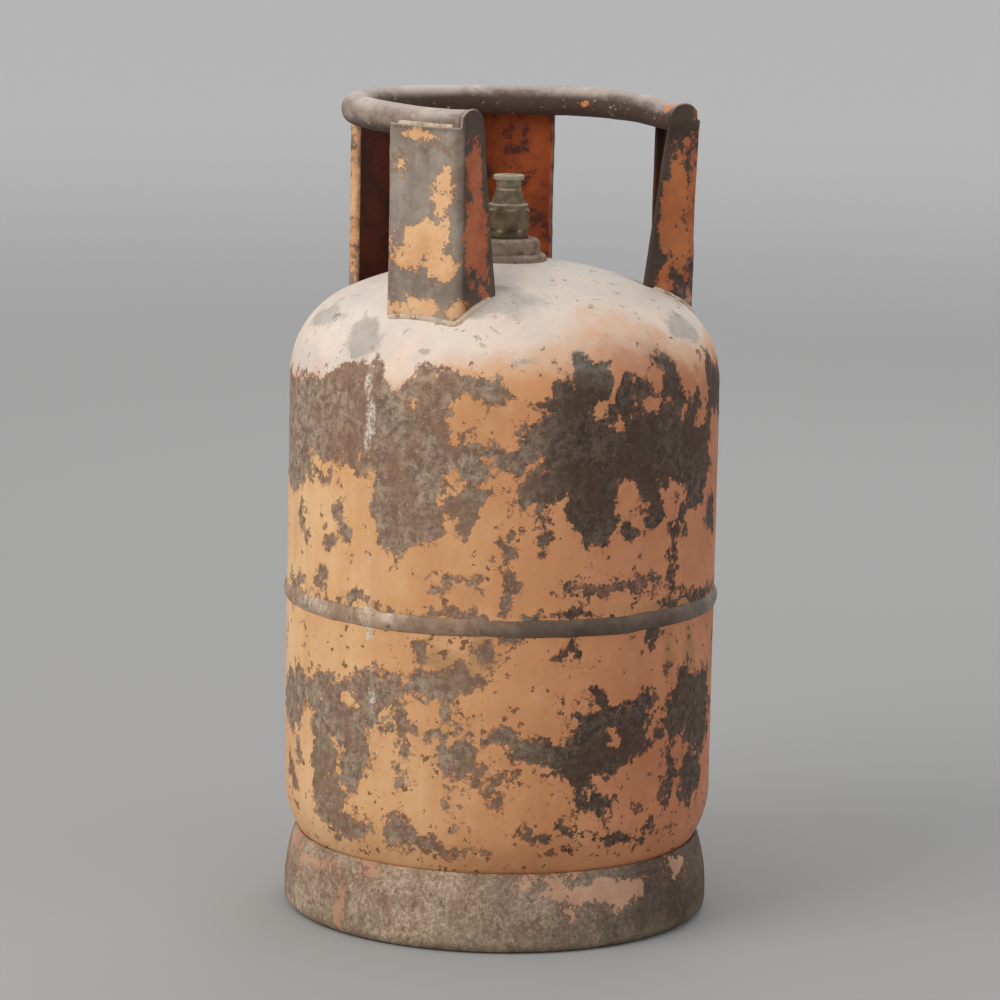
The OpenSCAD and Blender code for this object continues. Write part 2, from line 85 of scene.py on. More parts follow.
def rise(r):
    """Height of a domed end above its straight wall at radius r: knuckle circle, then crown circle."""
    knuckle = np.sqrt(np.maximum(KNUCKLE ** 2 - (r - knuckle_x) ** 2, 0))
    crown = np.sqrt(np.maximum(CROWN ** 2 - r ** 2, 0)) - crown_back
    return np.where(r > blend_r, knuckle, crown)


up_tan_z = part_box("upper_shell")[1][2] - float(rise(np.array(hole_r)))
low_tan_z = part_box("lower_shell")[0][2] + dome_depth
print("body radius", round(body_r, 4), "seam", round(seam_z, 4),
      "shoulders", round(low_tan_z, 4), round(up_tan_z, 4))

# %% [markdown]
# ## Camera, light and floor
# A long lens from three metres keeps the sides nearly straight, as a product shot
# does. The camera stands on the weathered side, 40.5 degrees left of the gap in
# the handle, a little above the middle, and leans by one degree.

# %% Camera
SHOT_DEG = -40.5
FILM = 36


def turned(azimuth, elevation):
    """Unit vectors of a view: back to the camera, to its right and up."""
    a, e = math.radians(azimuth), math.radians(elevation)
    back = Vector((math.sin(a) * math.cos(e), -math.cos(a) * math.cos(e), math.sin(e)))
    right = Vector((math.cos(a), math.sin(a), 0))
    return back, right, back.cross(right)


def add_camera(distance, elevation, lean, lens, aim):
    """Looks along -back at aim, which is (metres to the right, height), from distance; its
    own right and up are turned by lean degrees about that line."""
    back, right, up = turned(SHOT_DEG, elevation)
    c, s = math.cos(math.radians(lean)), math.sin(math.radians(lean))
    camera = bpy.data.objects.new("camera", bpy.data.cameras.new("camera"))
    bpy.context.collection.objects.link(camera)
    place = Matrix((right * c + up * s, up * c - right * s, back)).transposed().to_4x4()
    place.translation = right * aim[0] + Vector((0, 0, aim[1])) + back * distance
    camera.matrix_world = place
    camera.data.sensor_width = FILM
    camera.data.lens = lens
    bpy.context.scene.camera = camera
    return camera


camera = add_camera(distance=3.0, elevation=9.53, lean=1.15, lens=154.1,
                    aim=(-1.6 * MM, 287.7 * MM))
print("camera at", [round(v, 3) for v in camera.matrix_world.translation])

# %% [markdown]
# A broad lamp on the left and the pale room round it give soft shade, and a weaker
# one lifts the right. The levels add up to about one, so a colour renders about as
# it is written.

# %% Light
LAMP_AIM_Z = 0.3
ROOM_LIGHT = 0.62


def add_lamp(name, azimuth, elevation, distance, size, watts, colour):
    """A square lamp, azimuth degrees round from the camera, that faces the axis."""
    back, right, up = turned(SHOT_DEG + azimuth, elevation)
    lamp = bpy.data.objects.new(name, bpy.data.lights.new(name, "AREA"))
    bpy.context.collection.objects.link(lamp)
    lamp.data.size = size
    lamp.data.energy = watts
    lamp.data.color = colour
    place = Matrix((right, up, back)).transposed().to_4x4()
    place.translation = Vector((0, 0, LAMP_AIM_Z)) + back * distance
    lamp.matrix_world = place


add_lamp("key", -52, 38, 2.2, 1.3, 22, (1.0, 0.97, 0.92))
add_lamp("fill", 70, 25, 2.4, 1.6, 5, (0.93, 0.96, 1.0))
add_lamp("rim", 165, 40, 2.4, 1.2, 9, (1.0, 1.0, 1.0))
world = bpy.data.worlds.new("room")
bpy.context.scene.world = world
world.use_nodes = True
room = world.node_tree.nodes["Background"].inputs
room["Color"].default_value = (1.0, 1.0, 1.0, 1)
room["Strength"].default_value = ROOM_LIGHT
bpy.context.scene.view_settings.view_transform = "Standard"
print("lamps:", len(bpy.data.lights), "room light", ROOM_LIGHT)

# %% [markdown]
# The floor is a wide pale disc that belongs to the stage. The lamps reach only its
# middle, so its grey gets paler with distance, and the background looks even. The
# cylinder's shadow still falls on it.

# %% Floor
PALE_FROM, PALE_TO = 0.3, 7.0


def full_turn(count):
    """Angles of count even steps round a circle."""
    return np.linspace(0, 2 * math.pi, count, endpoint=False)


def add_floor(radius, near, far, sides=96):
    """One round face: its corners are radius times (cos a, sin a, 0). Its grey goes from
    near to far with the distance from the axis."""
    turns = full_turn(sides)
    ring = np.stack([np.cos(turns), np.sin(turns), np.zeros(sides)], 1) * radius
    mesh = bpy.data.meshes.new("floor")
    mesh.from_pydata(ring.tolist(), [], [list(range(sides))])
    floor = bpy.data.objects.new("floor", mesh)
    bpy.context.collection.objects.link(floor)
    material = bpy.data.materials.new("pale_floor")
    material.use_nodes = True
    shader = material.node_tree.nodes["Principled BSDF"]
    place = material.node_tree.nodes.new("ShaderNodeTexCoord").outputs["Object"]
    away = material.node_tree.nodes.new("ShaderNodeVectorMath")
    away.operation = "LENGTH"
    shade = material.node_tree.nodes.new("ShaderNodeMapRange")
    shade.interpolation_type = "SMOOTHSTEP"
    levels = (PALE_FROM, PALE_TO, near, far)
    for key, value in zip(("From Min", "From Max", "To Min", "To Max"), levels):
        shade.inputs[key].default_value = value
    material.node_tree.links.new(place, away.inputs[0])
    material.node_tree.links.new(away.outputs["Value"], shade.inputs["Value"])
    material.node_tree.links.new(shade.outputs["Result"], shader.inputs["Base Color"])
    shader.inputs["Roughness"].default_value = 0.9
    shader.inputs["Specular IOR Level"].default_value = 0.1
    mesh.materials.append(material)
    return floor


floor = add_floor(30, near=0.40, far=0.74)
print("floor", [round(v, 1) for v in floor.dimensions])

# %% [markdown]
# ## From a grid to a mesh
# Every piece below is an array of points in rows and columns. One helper joins each
# point to its neighbours with four-sided faces. It can close the grid round on
# itself, and close an end with a fan. The signed volume then tells whether the faces
# look outwards, and they are all turned over if they don't.

# %% Grid to mesh
def grid_piece(name, points, wrap_rows=False, wrap_cols=False, caps=(), zips=()):
    """A closed mesh of a (rows, cols, 3) array. caps are rows closed by a fan to their
    middle, and zips are rows whose first half is joined to their second half."""
    rows, cols = points.shape[:2]
    index = np.arange(rows * cols).reshape(rows, cols)
    low = index if wrap_rows else index[:-1]
    high = np.roll(index, -1, 0) if wrap_rows else index[1:]
    if wrap_cols:
        low, high = np.c_[low, low[:, :1]], np.c_[high, high[:, :1]]
    quads = np.stack([low[:, :-1], low[:, 1:], high[:, 1:], high[:, :-1]], -1).reshape(-1, 4)
    verts = points.reshape(-1, 3)
    faces = [quads.tolist()]
    for row in caps:
        ring = index[row] if row == 0 else index[row][::-1]
        verts = np.vstack([verts, points[row].mean(0)])
        hub = np.full(cols, len(verts) - 1)
        faces.append(np.stack([np.roll(ring, -1), ring, hub], 1).tolist())
    for row in zips:
        ring = index[row] if row == 0 else index[row][::-1]
        near, away = ring[:cols // 2], ring[cols // 2:][::-1]
        faces.append(np.stack([near[1:], near[:-1], away[:-1], away[1:]], 1).tolist())
    faces = [f for group in faces for f in group]
    fan = np.array([(f[0], f[i], f[i + 1]) for f in faces for i in range(1, len(f) - 1)])
    a, b, c = (verts[fan[:, k]] for k in range(3))
    volume = float(np.einsum("ij,ij->i", a, np.cross(b, c)).sum() / 6)
    if volume < 0:
        faces = [f[::-1] for f in faces]
    mesh = bpy.data.meshes.new(name)
    mesh.from_pydata(verts.tolist(), [], faces)
    mesh.shade_smooth()
    piece = bpy.data.objects.new(name, mesh)
    bpy.context.collection.objects.link(piece)
    print(name, len(fan), "triangles,", round(abs(volume) * 1e6, 2), "cubic cm")
    return piece


def paint_field(piece, name, values):
    """Stores one number for each point, for the materials. Points of caps take the mean."""
    data = np.full(len(piece.data.vertices), float(np.mean(values)), dtype=np.float32)
    data[:values.size] = values.reshape(-1)
    layer = piece.data.attributes.new(name, "FLOAT", "POINT")
    layer.data.foreach_set("value", data)


def stands_for(piece, node):
    """The piece rides on the cylinder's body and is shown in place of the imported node."""
    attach(piece, "cylinder")
    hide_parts(node)


# %% [markdown]
# ## Noise that every wear mark shares
# Dents, ripples and ragged edges all come from one smooth random field: random
# numbers on the corners of a lattice of cubes, blended in between. Finer copies of
# it added at half the strength give the crumbled look of rust.

# %% Noise
LATTICE = 32


def soft_noise(points, cell, seed):
    """From -1 to 1. Each cube of side cell has a random number at its eight corners, and
    the value inside blends them by the smooth step of its place along each side."""
    table = np.random.default_rng(seed).uniform(-1, 1, (LATTICE, LATTICE, LATTICE))
    place = points / cell
    base = np.floor(place).astype(int)
    t = place - base
    t = t * t * (3 - 2 * t)
    total = np.zeros(points.shape[:-1])
    for corner in product((0, 1), repeat=3):
        weight = np.prod(np.where(corner, t, 1 - t), axis=-1)
        i = (base + corner) % LATTICE
        total += weight * table[i[..., 0], i[..., 1], i[..., 2]]
    return total


def crumbled(points, cell, seed, layers=3):
    """Noise plus half as much at half the size, and so on."""
    return sum(soft_noise(points, cell / 2 ** k, seed + k) / 2 ** k for k in range(layers))


def step(value, low, high):
    """0 below low, 1 above high, and a smooth step in between."""
    t = np.clip((value - low) / (high - low), 0, 1)
    return t * t * (3 - 2 * t)


print("noise:", soft_noise(np.zeros((1, 3)), 1, seed=1).round(2), "at the corner of a cube")

# %% [markdown]
# ## Where the marks are
# A place on the wall is given by its angle from the camera side, in degrees with
# right as plus, and its height in millimetres. A mark is an oval: its field is the
# rough distance inside its rim, in millimetres, and is below zero outside it.

# %% Fields of marks
FAR = 99.0


def wall_place(points):
    """Angle from the camera side, -180 to 180, and height in mm."""
    angle = np.degrees(np.arctan2(points[..., 0], -points[..., 1])) - SHOT_DEG
    return (angle + 180) % 360 - 180, points[..., 2] / MM


def ovals(u, v, marks, u_scale=1.0):
    """Largest field of several ovals (middle u, middle v, half width, half height)."""
    best = np.full(u.shape, -FAR)
    for mu, mv, hu, hv in marks:
        inside = (1 - np.hypot((u - mu) / hu, (v - mv) / hv)) * min(hu * u_scale, hv)
        best = np.maximum(best, inside)
    return best


def as_mask(field, reach=12.0):
    """A field in mm as 0 to 1, where 0.5 is the rim and reach mm away is full."""
    return np.clip(0.5 + field / reach / 2, 0, 1)


def right_shade(deg):
    """Share of painted shade: 0 on the lit left, rising to 1 round the right side, and 0 again at the far
    left.
    """
    return step(deg, -20, 62) * step(-deg, -170, -110)


MM_PER_DEG = body_r / MM * math.pi / 180
print("one degree of wall is", round(MM_PER_DEG, 2), "mm")

# %% [markdown]
# ## The band of bare rust
# Round the upper half the paint has gone in a broad belt. Its edges wander, so they
# are written as a few heights at chosen angles with straight lines between, and the
# noise crumbles them. The far side gets the same belt in a plainer form.

# %% Belt of rust
BELT_LOW = [(-180, 312), (-140, 322), (-100, 306), (-72, 300), (-60, 317), (-52, 311),
            (-45, 325), (-38, 320), (-35, 290), (-30, 266), (-25, 275), (-18, 282),
            (-14, 299), (-8, 286), (-2, 320), (2, 325), (5, 310), (16, 312), (22, 285),
            (28, 284), (34, 315), (38, 296), (42, 285), (46, 300), (52, 317), (60, 300),
            (66, 306), (75, 330), (110, 318), (150, 304), (180, 312)]
BELT_TOP = [(-180, 384), (-130, 392), (-90, 378), (-70, 384), (-55, 382), (-48, 396),
            (-35, 399), (-28, 383), (-24, 402), (-12, 401), (-2, 396), (4, 372), (8, 376),
            (14, 395), (17, 391), (20, 411), (24, 402), (29, 402), (31, 378), (34, 396),
            (38, 385), (44, 404), (53, 401), (57, 366), (62, 380), (66, 352), (70, 397),
            (90, 390), (130, 380), (180, 384)]
belt_low, belt_top = np.array(BELT_LOW, float), np.array(BELT_TOP, float)
PAINT_LEFT = [(-22, 366, 3, 5), (-12, 355, 2, 6), (10, 338, 3, 6), (33, 358, 2, 4),
              (-14, 318, 3, 8), (-57, 325, 4, 5), (-45, 320, 2, 8), (-38, 317, 3, 14),
              (42, 372, 4, 7), (27, 372, 3, 8), (-2, 325, 4, 12), (34, 305, 4, 12),
              (48, 306, 3, 10), (-2, 358, 6, 13), (-9, 371, 7, 11), (4, 368, 7, 12),
              (44, 388, 3, 12), (54, 378, 2, 14), (66, 366, 3, 16), (76, 340, 7, 20),
              (120, 350, 4, 9), (-120, 345, 5, 7), (165, 352, 3, 10), (-160, 348, 3, 8)]
RUST_UPPER = [(-46, 287, 2, 10), (-63, 277, 1, 6), (-53, 277, 1, 5), (-67, 287, 1, 6),
              (-56, 247, 2, 5), (2, 272, 1.2, 34), (12, 295, 1, 9), (34, 292, 1.5, 6),
              (55, 290, 1.5, 8), (50, 264, 1.6, 22), (62, 305, 5, 8), (74, 286, 3, 15),
              (-10, 254, 3, 4), (-14, 251, 2, 3), (-5, 257, 2, 3), (24, 262, 1, 3),
              (-66, 236, 11, 3), (-44, 234, 8, 2), (-20, 233, 9, 1.5), (6, 233, 8, 1.5),
              (60, 236, 9, 2), (120, 235, 12, 2.5), (-110, 235, 10, 2), (170, 234, 9, 2),
              (95, 280, 4, 12), (140, 262, 3, 14), (-110, 270, 5, 9), (-155, 285, 2, 16)]
print("belt from", belt_low[:, 1].min(), "to", belt_top[:, 1].max(), "mm")

# %% [markdown]
# The lower half has no belt but islands: a tall one at the left, streaks down the
# middle and a many-fingered one at the right.

# %% Rust on the lower half
RUST_LOWER = [(-74, 154, 9, 18), (-47, 138, 11, 38), (-50, 98, 7, 28), (-41, 162, 8, 22),
              (-60, 168, 11, 10), (-34, 178, 10, 9), (-20, 184, 12, 9), (-9, 190, 7, 9),
              (-26, 150, 1.8, 30), (-12, 142, 1.2, 24), (-8, 136, 3.4, 20), (-14, 155, 14, 2.4),
              (3, 152, 6, 8), (8, 144, 6, 9), (15, 137, 9, 5), (0, 123, 5, 4), (1, 108, 1.8, 8),
              (29, 145, 12, 25), (39, 160, 5, 14), (20, 126, 8, 8), (21, 104, 1.8, 16),
              (27, 106, 2.4, 10), (20, 172, 2, 8), (27, 178, 2.4, 7), (46, 150, 5, 4),
              (60, 158, 10, 27), (70, 150, 8, 30), (52, 118, 1.8, 20), (63, 108, 6, 20),
              (-45, 80, 8, 12), (-26, 82, 4, 14), (-20, 72, 5, 6), (-8, 73, 4, 5),
              (-72, 96, 4, 10), (-68, 120, 2.4, 12), (34, 76, 8, 3), (10, 80, 3, 3),
              (-21, 210, 1.8, 8), (-4, 211, 3, 8), (17, 213, 1.6, 6), (44, 212, 4, 3),
              (105, 150, 9, 24), (128, 96, 6, 16), (160, 138, 8, 34), (-98, 132, 8, 26),
              (-125, 170, 7, 12), (-150, 112, 9, 20), (-172, 80, 6, 9), (145, 190, 10, 7)]
LOWER_PAINT = [(32, 148, 2, 5), (57, 130, 3, 8), (-46, 120, 1.4, 12), (-43, 165, 2, 5),
               (160, 146, 3, 8), (75, 150, 2, 7)]


def rust_field(points):
    """How far inside bare rust each point lies, in mm: the belt or an oval, minus islands
    of paint, all read at a place that the noise has pushed about."""
    deg, z = wall_place(points)
    deg = deg + 2.4 * crumbled(points, 17 * MM, 11, 4)
    z = z + 6.0 * crumbled(points, 15 * MM, 31, 4)
    low = np.interp(deg, belt_low[:, 0], belt_low[:, 1])
    top = np.interp(deg, belt_top[:, 0], belt_top[:, 1])
    field = np.minimum(z - low, top - z)
    field = np.maximum(field, ovals(deg, z, RUST_UPPER + RUST_LOWER, MM_PER_DEG))
    return np.minimum(field, -ovals(deg, z, PAINT_LEFT + LOWER_PAINT, MM_PER_DEG))


# %% [markdown]
# ## The two pressed halves
# Each half is a round shell: a straight wall, a tight knuckle and a flat crown. Its
# section is a closed outline, and the grid carries it round the axis. The outside is
# then pushed along its own normal: slow waves from the press, a few dents, a step of
# paint thickness round each bare patch, pits in the rust, and curled flakes.

# %% Section of a shell
WALL_ROWS, DOME_ROWS = 74, 96


def dome_arc(inset, from_r, count):
    """Radius and height above the straight wall, from the knuckle's foot to from_r: an
    angle runs up the knuckle circle and then on along the crown circle."""
    join = math.asin(knuckle_x / (CROWN - KNUCKLE))
    k = np.linspace(0, math.pi / 2 - join, count // 2, endpoint=False)
    c = np.linspace(join, math.asin(from_r / (CROWN - inset)), count - count // 2)
    knuckle = np.stack([knuckle_x + (KNUCKLE - inset) * np.cos(k), (KNUCKLE - inset) * np.sin(k)], 1)
    crown = np.stack([(CROWN - inset) * np.sin(c), (CROWN - inset) * np.cos(c) - crown_back], 1)
    return np.vstack([knuckle, crown])


def shell_section(edge_z, tangent_z, flip, hole):
    """Closed outline: outside wall and dome from the seam to the hole, then back inside.
    Returns it with how much of the surface damage each point takes, 0 or 1."""
    wall = np.linspace(edge_z, tangent_z, WALL_ROWS, endpoint=False)
    outside = np.vstack([np.c_[np.full(WALL_ROWS, body_r), wall],
                         dome_arc(0, hole, DOME_ROWS) * [1, flip] + [0, tangent_z]])
    inside = np.vstack([dome_arc(WALL, hole, 14)[::-1] * [1, flip] + [0, tangent_z],
                        np.c_[np.full(3, body_r - WALL), np.linspace(tangent_z, edge_z, 4)[1:]]])
    take = np.r_[np.ones(len(outside)), np.zeros(len(inside))]
    take[[0, -1]] = 0
    return np.vstack([outside, inside]), take


def revolve(section, cols):
    """Rows follow the section, columns go round: (r sin a, -r cos a, z)."""
    turn = full_turn(cols)
    r, z = section[:, :1], section[:, 1:]
    return np.stack([r * np.sin(turn), -r * np.cos(turn), z + 0 * turn], -1)


def outward(points):
    """Unit normals of a grid that is closed in both ways, from the cross product of the
    differences between neighbours. A row of the straight wall tells which way is out."""
    down = np.roll(points, -1, 0) - np.roll(points, 1, 0)
    along = np.roll(points, -1, 1) - np.roll(points, 1, 1)
    normal = np.cross(along, down)
    normal /= np.maximum(np.linalg.norm(normal, axis=-1, keepdims=True), 1e-12)
    middle = WALL_ROWS // 2
    return normal * np.sign(np.sum(normal[middle] * points[middle] * [1, 1, 0]))


def from_axis(points):
    """Level unit vectors that point away from the body's axis."""
    return points * [1, 1, 0] / np.linalg.norm(points[..., :2], axis=-1, keepdims=True)


print("shell section:", len(shell_section(seam_z, up_tan_z, 1, hole_r)[0]), "points")

# %% [markdown]
# The dents are shallow bowls: a depth times a bell curve of the distance from the
# middle. The white run at the left has lifted the paint in curled scales beside it.

# %% Damage of the wall
DENTS = [(-48, 122, 30, 0.9), (-6, 96, 40, 0.6), (44, 105, 26, 0.7), (-20, 330, 34, 0.6),
         (30, 345, 30, 0.5), (62, 262, 22, 0.6), (-62, 350, 24, 0.6), (110, 180, 40, 1.2),
         (150, 320, 34, 0.8), (-120, 110, 30, 1.0), (170, 90, 26, 0.8)]
RUNS = [(-37.3, 396, -37, 345, 0.7), (-37, 345, -36.8, 290, -0.6), (-37, 318, -36.8, 300, 0.7),
        (-36.8, 285, -36.5, 229, 0.5), (-36, 218, -35, 178, 0.2), (-35, 178, -33.2, 140, 0.4),
        (-33, 135, -31, 92, 0.0)]


def along_runs(deg, z):
    """Distance in mm from the nearest white run, less its half width."""
    nearest = np.full(deg.shape, FAR)
    for d0, z0, d1, z1, wide in RUNS:
        t = np.clip((z - z0) / (z1 - z0), 0, 1)
        gap = np.hypot((deg - (d0 + (d1 - d0) * t)) * MM_PER_DEG, z - (z0 + (z1 - z0) * t))
        nearest = np.minimum(nearest, gap - wide)
    return nearest


def wall_damage(points, field):
    """Shift along the normal, in mm: waves, dents, paint step, pits and scales."""
    deg, z = wall_place(points)
    shift = 0.35 * crumbled(points, 70 * MM, 51) - 0.1
    for at_deg, at_z, wide, deep in DENTS:
        gap = np.hypot((deg - at_deg) * MM_PER_DEG, z - at_z)
        shift -= deep * np.exp(-(gap / wide) ** 2)
    bare = step(field, -1, 1.5)
    shift -= bare * (0.28 + 0.16 * crumbled(points, 5 * MM, 61))
    rim = np.exp(-((field + 1.5) / 1.8) ** 2)
    shift += rim * (0.18 + 0.3 * np.maximum(crumbled(points, 9 * MM, 71), 0))
    run = along_runs(deg, z)
    scales = step(run, 5, 0) * step(z, 335, 352) * step(z, 404, 396)
    shift += scales * np.maximum(0.2 + 1.2 * crumbled(points, 4 * MM, 81), 0)
    return shift + 0.25 * step(run, 1.2, 0) * (z < 226)


# %% Upper and lower shell
def make_shell(name, edge_z, tangent_z, flip, hole, cols=480):
    """One half; flip is 1 where its dome points up and -1 where it points down."""
    section, take = shell_section(edge_z, tangent_z, flip, hole)
    points = revolve(section, cols)
    field = rust_field(points)
    points = points + outward(points) * (wall_damage(points, field) * take[:, None] * MM)[..., None]
    shell = grid_piece(name, points, wrap_rows=True, wrap_cols=True)
    paint_field(shell, "rust", as_mask(field, 22))
    return shell, points


EDGE = 2 * MM
PIN_HOLE = 0.02 * MM
upper, upper_points = make_shell("shell_upper", seam_z + EDGE, up_tan_z, 1, hole_r)
lower, lower_points = make_shell("shell_lower", seam_z - EDGE, low_tan_z, -1, PIN_HOLE)

# %% [markdown]
# Seen close, the outside is not one finish. The colours change with height and
# round the body, so each change is stored as its own number for every point: painted
# light on the lit left side, chalky bleaching on the shoulder, peach where the paint
# faded less, white runs, moss at the seam, painted shade on the browner right side,
# and one dark bar, worn to shreds.

# %% Colour fields of the shells
PEACH = [(14, 416, 16, 16), (34, 420, 24, 18), (52, 412, 16, 14), (-30, 404, 6, 6),
         (110, 414, 26, 16), (-110, 410, 22, 14)]
ASH = [(-44, 412, 7, 13), (20, 408, 2, 5), (5, 404, 2, 2), (66, 420, 8, 9), (-5, 440, 20, 8),
       (-70, 420, 10, 8), (150, 425, 14, 10)]
CHALK = [(-180, 384), (-70, 354), (-30, 360), (-14, 376), (4, 380), (16, 394), (30, 406),
         (46, 402), (58, 380), (80, 384), (180, 384)]
STAINS = [(-4, 206, 4, 12), (-12, 190, 8, 13), (-16, 205, 6, 7), (50, 200, 2, 20),
          (60, 200, 2, 18), (48, 235, 14, 4), (100, 212, 4, 9), (-100, 210, 5, 10),
          (160, 208, 5, 12)]
BLOBS = [(-36.5, 229, 2.6, 4), (-38, 222, 1.6, 3), (-36, 215, 1.5, 6), (-35, 170, 0.9, 9),
         (-61, 226, 4, 3), (-54, 224, 3, 3), (-37.6, 384, 1.2, 10), (-36.7, 362, 1.5, 14),
         (-37.6, 346, 1.2, 7)]
CHALK_RISE = 44
BAR = (17, 51, 244, 258)


def colour_fields(piece, points):
    """Stores each field for the paint. Most are read at a place that noise has pushed."""
    deg, z = wall_place(points)
    wob_deg = deg + 1.5 * crumbled(points, 14 * MM, 91)
    wob_z = z + 4 * crumbled(points, 12 * MM, 101)
    # Painted light: the lit left side of the wall is stored here, for paler and yellower paint.
    paint_field(piece, "painted_lit_side", step(deg, 15, -50) * step(deg, -160, -110))
    chalk = np.array(CHALK, float)
    start = np.interp(deg, chalk[:, 0], chalk[:, 1])
    paint_field(piece, "chalk", np.clip((wob_z - start) / CHALK_RISE, 0, 1))
    paint_field(piece, "peach", as_mask(ovals(wob_deg, wob_z, PEACH, MM_PER_DEG), 30))
    paint_field(piece, "ash", as_mask(ovals(wob_deg, wob_z, ASH, MM_PER_DEG)))
    paint_field(piece, "moss", as_mask(ovals(wob_deg, wob_z, STAINS, MM_PER_DEG), 8))
    white = np.maximum(-along_runs(deg + 0.25 * crumbled(points, 6 * MM, 111), z),
                       ovals(deg, z, BLOBS, MM_PER_DEG))
    paint_field(piece, "white", as_mask(white, 3))
    paint_field(piece, "shade", right_shade(deg))
    left, right, low, high = BAR
    bar = np.minimum(np.minimum(wob_deg - left, right - wob_deg) * MM_PER_DEG,
                     np.minimum(wob_z - low, high - wob_z))
    paint_field(piece, "bar", as_mask(bar - 3, 16))
    paint_field(piece, "low", step(z, 232, 216))


for shell, points, node in ((upper, upper_points, "upper_shell"),
                            (lower, lower_points, "lower_shell")):
    colour_fields(shell, points)
    stands_for(shell, node)
print("fields:", sorted(a.name for a in upper.data.attributes if a.data_type == "FLOAT"))

# %% [markdown]
# ## The seam
# A machine laid this weld, so it is a low, even band 12 mm high. Its section is an
# arc of a circle. Slow noise makes it swell and shrink, and its edges wander a little.

# %% Seam weld
BACK = 2 * MM


def make_seam(half_h, out, cols=600):
    """The outside is the arc through the edges at +-half_h and the crest, out mm proud of
    the wall; the back lies in the wall."""
    v = np.linspace(-1, 1, 22)
    arc_r = (half_h ** 2 + out ** 2) / (2 * out)
    crest = np.sqrt(arc_r ** 2 - (v * half_h) ** 2) - (arc_r - out)
    section = np.vstack([np.c_[body_r + crest * MM, seam_z + v * half_h * MM],
                         [[body_r - BACK, seam_z + BACK], [body_r - BACK, seam_z - BACK]]])
    points = revolve(section, cols)
    swell = crumbled(points * [1, 1, 0], 26 * MM, 121) * 0.28 + crumbled(points, 7 * MM, 131) * 0.12
    share = np.r_[crest / out, 0, 0][:, None]
    radial = from_axis(points)
    wander = crumbled(points * [1, 1, 0], 15 * MM, 141)[..., None] * [0, 0, 0.45 * MM]
    points = points + radial * (share * swell)[..., None] * MM * 1.4 + wander
    return grid_piece("seam_bead", points, wrap_rows=True, wrap_cols=True), points


SEAM_CRUST = [(-58, 224, 8, 9), (-37, 226, 2, 7), (-30, 228, 3, 3), (150, 225, 9, 6)]
seam, seam_points = make_seam(half_h=6, out=2)
deg, z = wall_place(seam_points)
paint_field(seam, "shade", right_shade(deg))
paint_field(seam, "crust", as_mask(ovals(deg, z, SEAM_CRUST, MM_PER_DEG), 6))
stands_for(seam, "seam_weld")

# %% [markdown]
# ## The foot ring
# A strip of 3 mm steel, bowed to follow the dome at its top and rolled inwards at the
# floor. The section is an outline of circle arcs, as a press tool would have it. Knocks
# have bent the rim a little, but the flat that stands on the floor stays at zero.

# %% Foot ring
foot_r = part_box("foot_ring")[1][0]
FOOT_WIDE_Z, ROLL, FLAT = 12 * MM, 8 * MM, 9 * MM
RIM_BULGE = 0.4 * MM
FOOT_KNOCKS = [(-20, 20, 22, 0.8), (38, 14, 18, 0.9), (-58, 26, 20, 0.7),
               (100, 18, 24, 1.2), (-140, 22, 26, 1.0), (170, 12, 20, 0.9)]
FOOT_PAINT = [(26, 40, 12, 9), (36, 36, 6, 10), (16, 48, 7, 4), (-46, 18, 2.5, 12), (-58, 46, 9, 5),
              (-76, 50, 8, 4), (60, 46, 5, 6), (-38, 50, 7, 4), (20, 26, 1.5, 4), (100, 40, 10, 9),
              (150, 30, 8, 12), (-120, 44, 12, 6), (-165, 36, 6, 10)]


def foot_section():
    """Outside: bowed arc from the top edge down to the widest place, quarter circle, flat.
    Inside: the same, one sheet thickness in."""
    top_in = knuckle_x + math.sqrt(KNUCKLE ** 2 - (low_tan_z - foot_h) ** 2) + 0.2 * MM
    sweep, tall = foot_r - top_in - WALL, foot_h - FOOT_WIDE_Z
    bow = (tall ** 2 + sweep ** 2) / (2 * sweep)
    up = np.linspace(tall, 0, 26)
    turn = np.linspace(0, math.pi / 2, 12)

    def side(inset):
        arc = np.c_[foot_r - bow + np.sqrt((bow - inset) ** 2 - up ** 2), FOOT_WIDE_Z + up]
        roll = np.c_[foot_r - ROLL + (ROLL - inset) * np.cos(turn),
                     ROLL - (ROLL - inset) * np.sin(turn)]
        flat = np.c_[foot_r - ROLL - np.linspace(0, FLAT, 5)[1:], np.full(4, inset)]
        return np.vstack([arc, roll, flat])

    outside, inside = side(0), side(WALL)
    rim_top = (outside[0] + inside[0]) / 2 + [0, RIM_BULGE]
    rim_low = (outside[-1] + inside[-1]) / 2 - [RIM_BULGE, 0]
    return np.vstack([rim_top, outside, rim_low, inside[::-1]])


def make_foot(cols=480):
    """The section carried round, pushed in and out by waves and knocks where it is free."""
    points = revolve(foot_section(), cols)
    deg, z = wall_place(points)
    free = step(z, 1, 9) * step(z, 58, 46)
    wave = 0.5 * crumbled(points, 45 * MM, 151) + 0.16 * crumbled(points, 5 * MM, 161)
    for at_deg, at_z, wide, deep in FOOT_KNOCKS:
        gap = np.hypot((deg - at_deg) * MM_PER_DEG, z - at_z)
        wave = wave - deep * np.exp(-(gap / wide) ** 2)
    radial = from_axis(points)
    return points + radial * (wave * free)[..., None] * MM - radial * 0.3 * MM


foot_points = make_foot()
foot = grid_piece("foot_ring_sheet", foot_points, wrap_rows=True, wrap_cols=True)
deg, z = wall_place(foot_points)
wob = crumbled(foot_points, 12 * MM, 171)
paint_field(foot, "paint", as_mask(ovals(deg + wob * 2, z + wob * 4, FOOT_PAINT, MM_PER_DEG)))
paint_field(foot, "shade", right_shade(deg))
paint_field(foot, "low", step(z, 22, 2))
stands_for(foot, "foot_ring")

# %% [markdown]
# ## The boss and the valve
# The boss is a turned steel collar with a rounded top, and a ring of weld holds it.
# Both are outlines carried round the axis, roughened by rust.

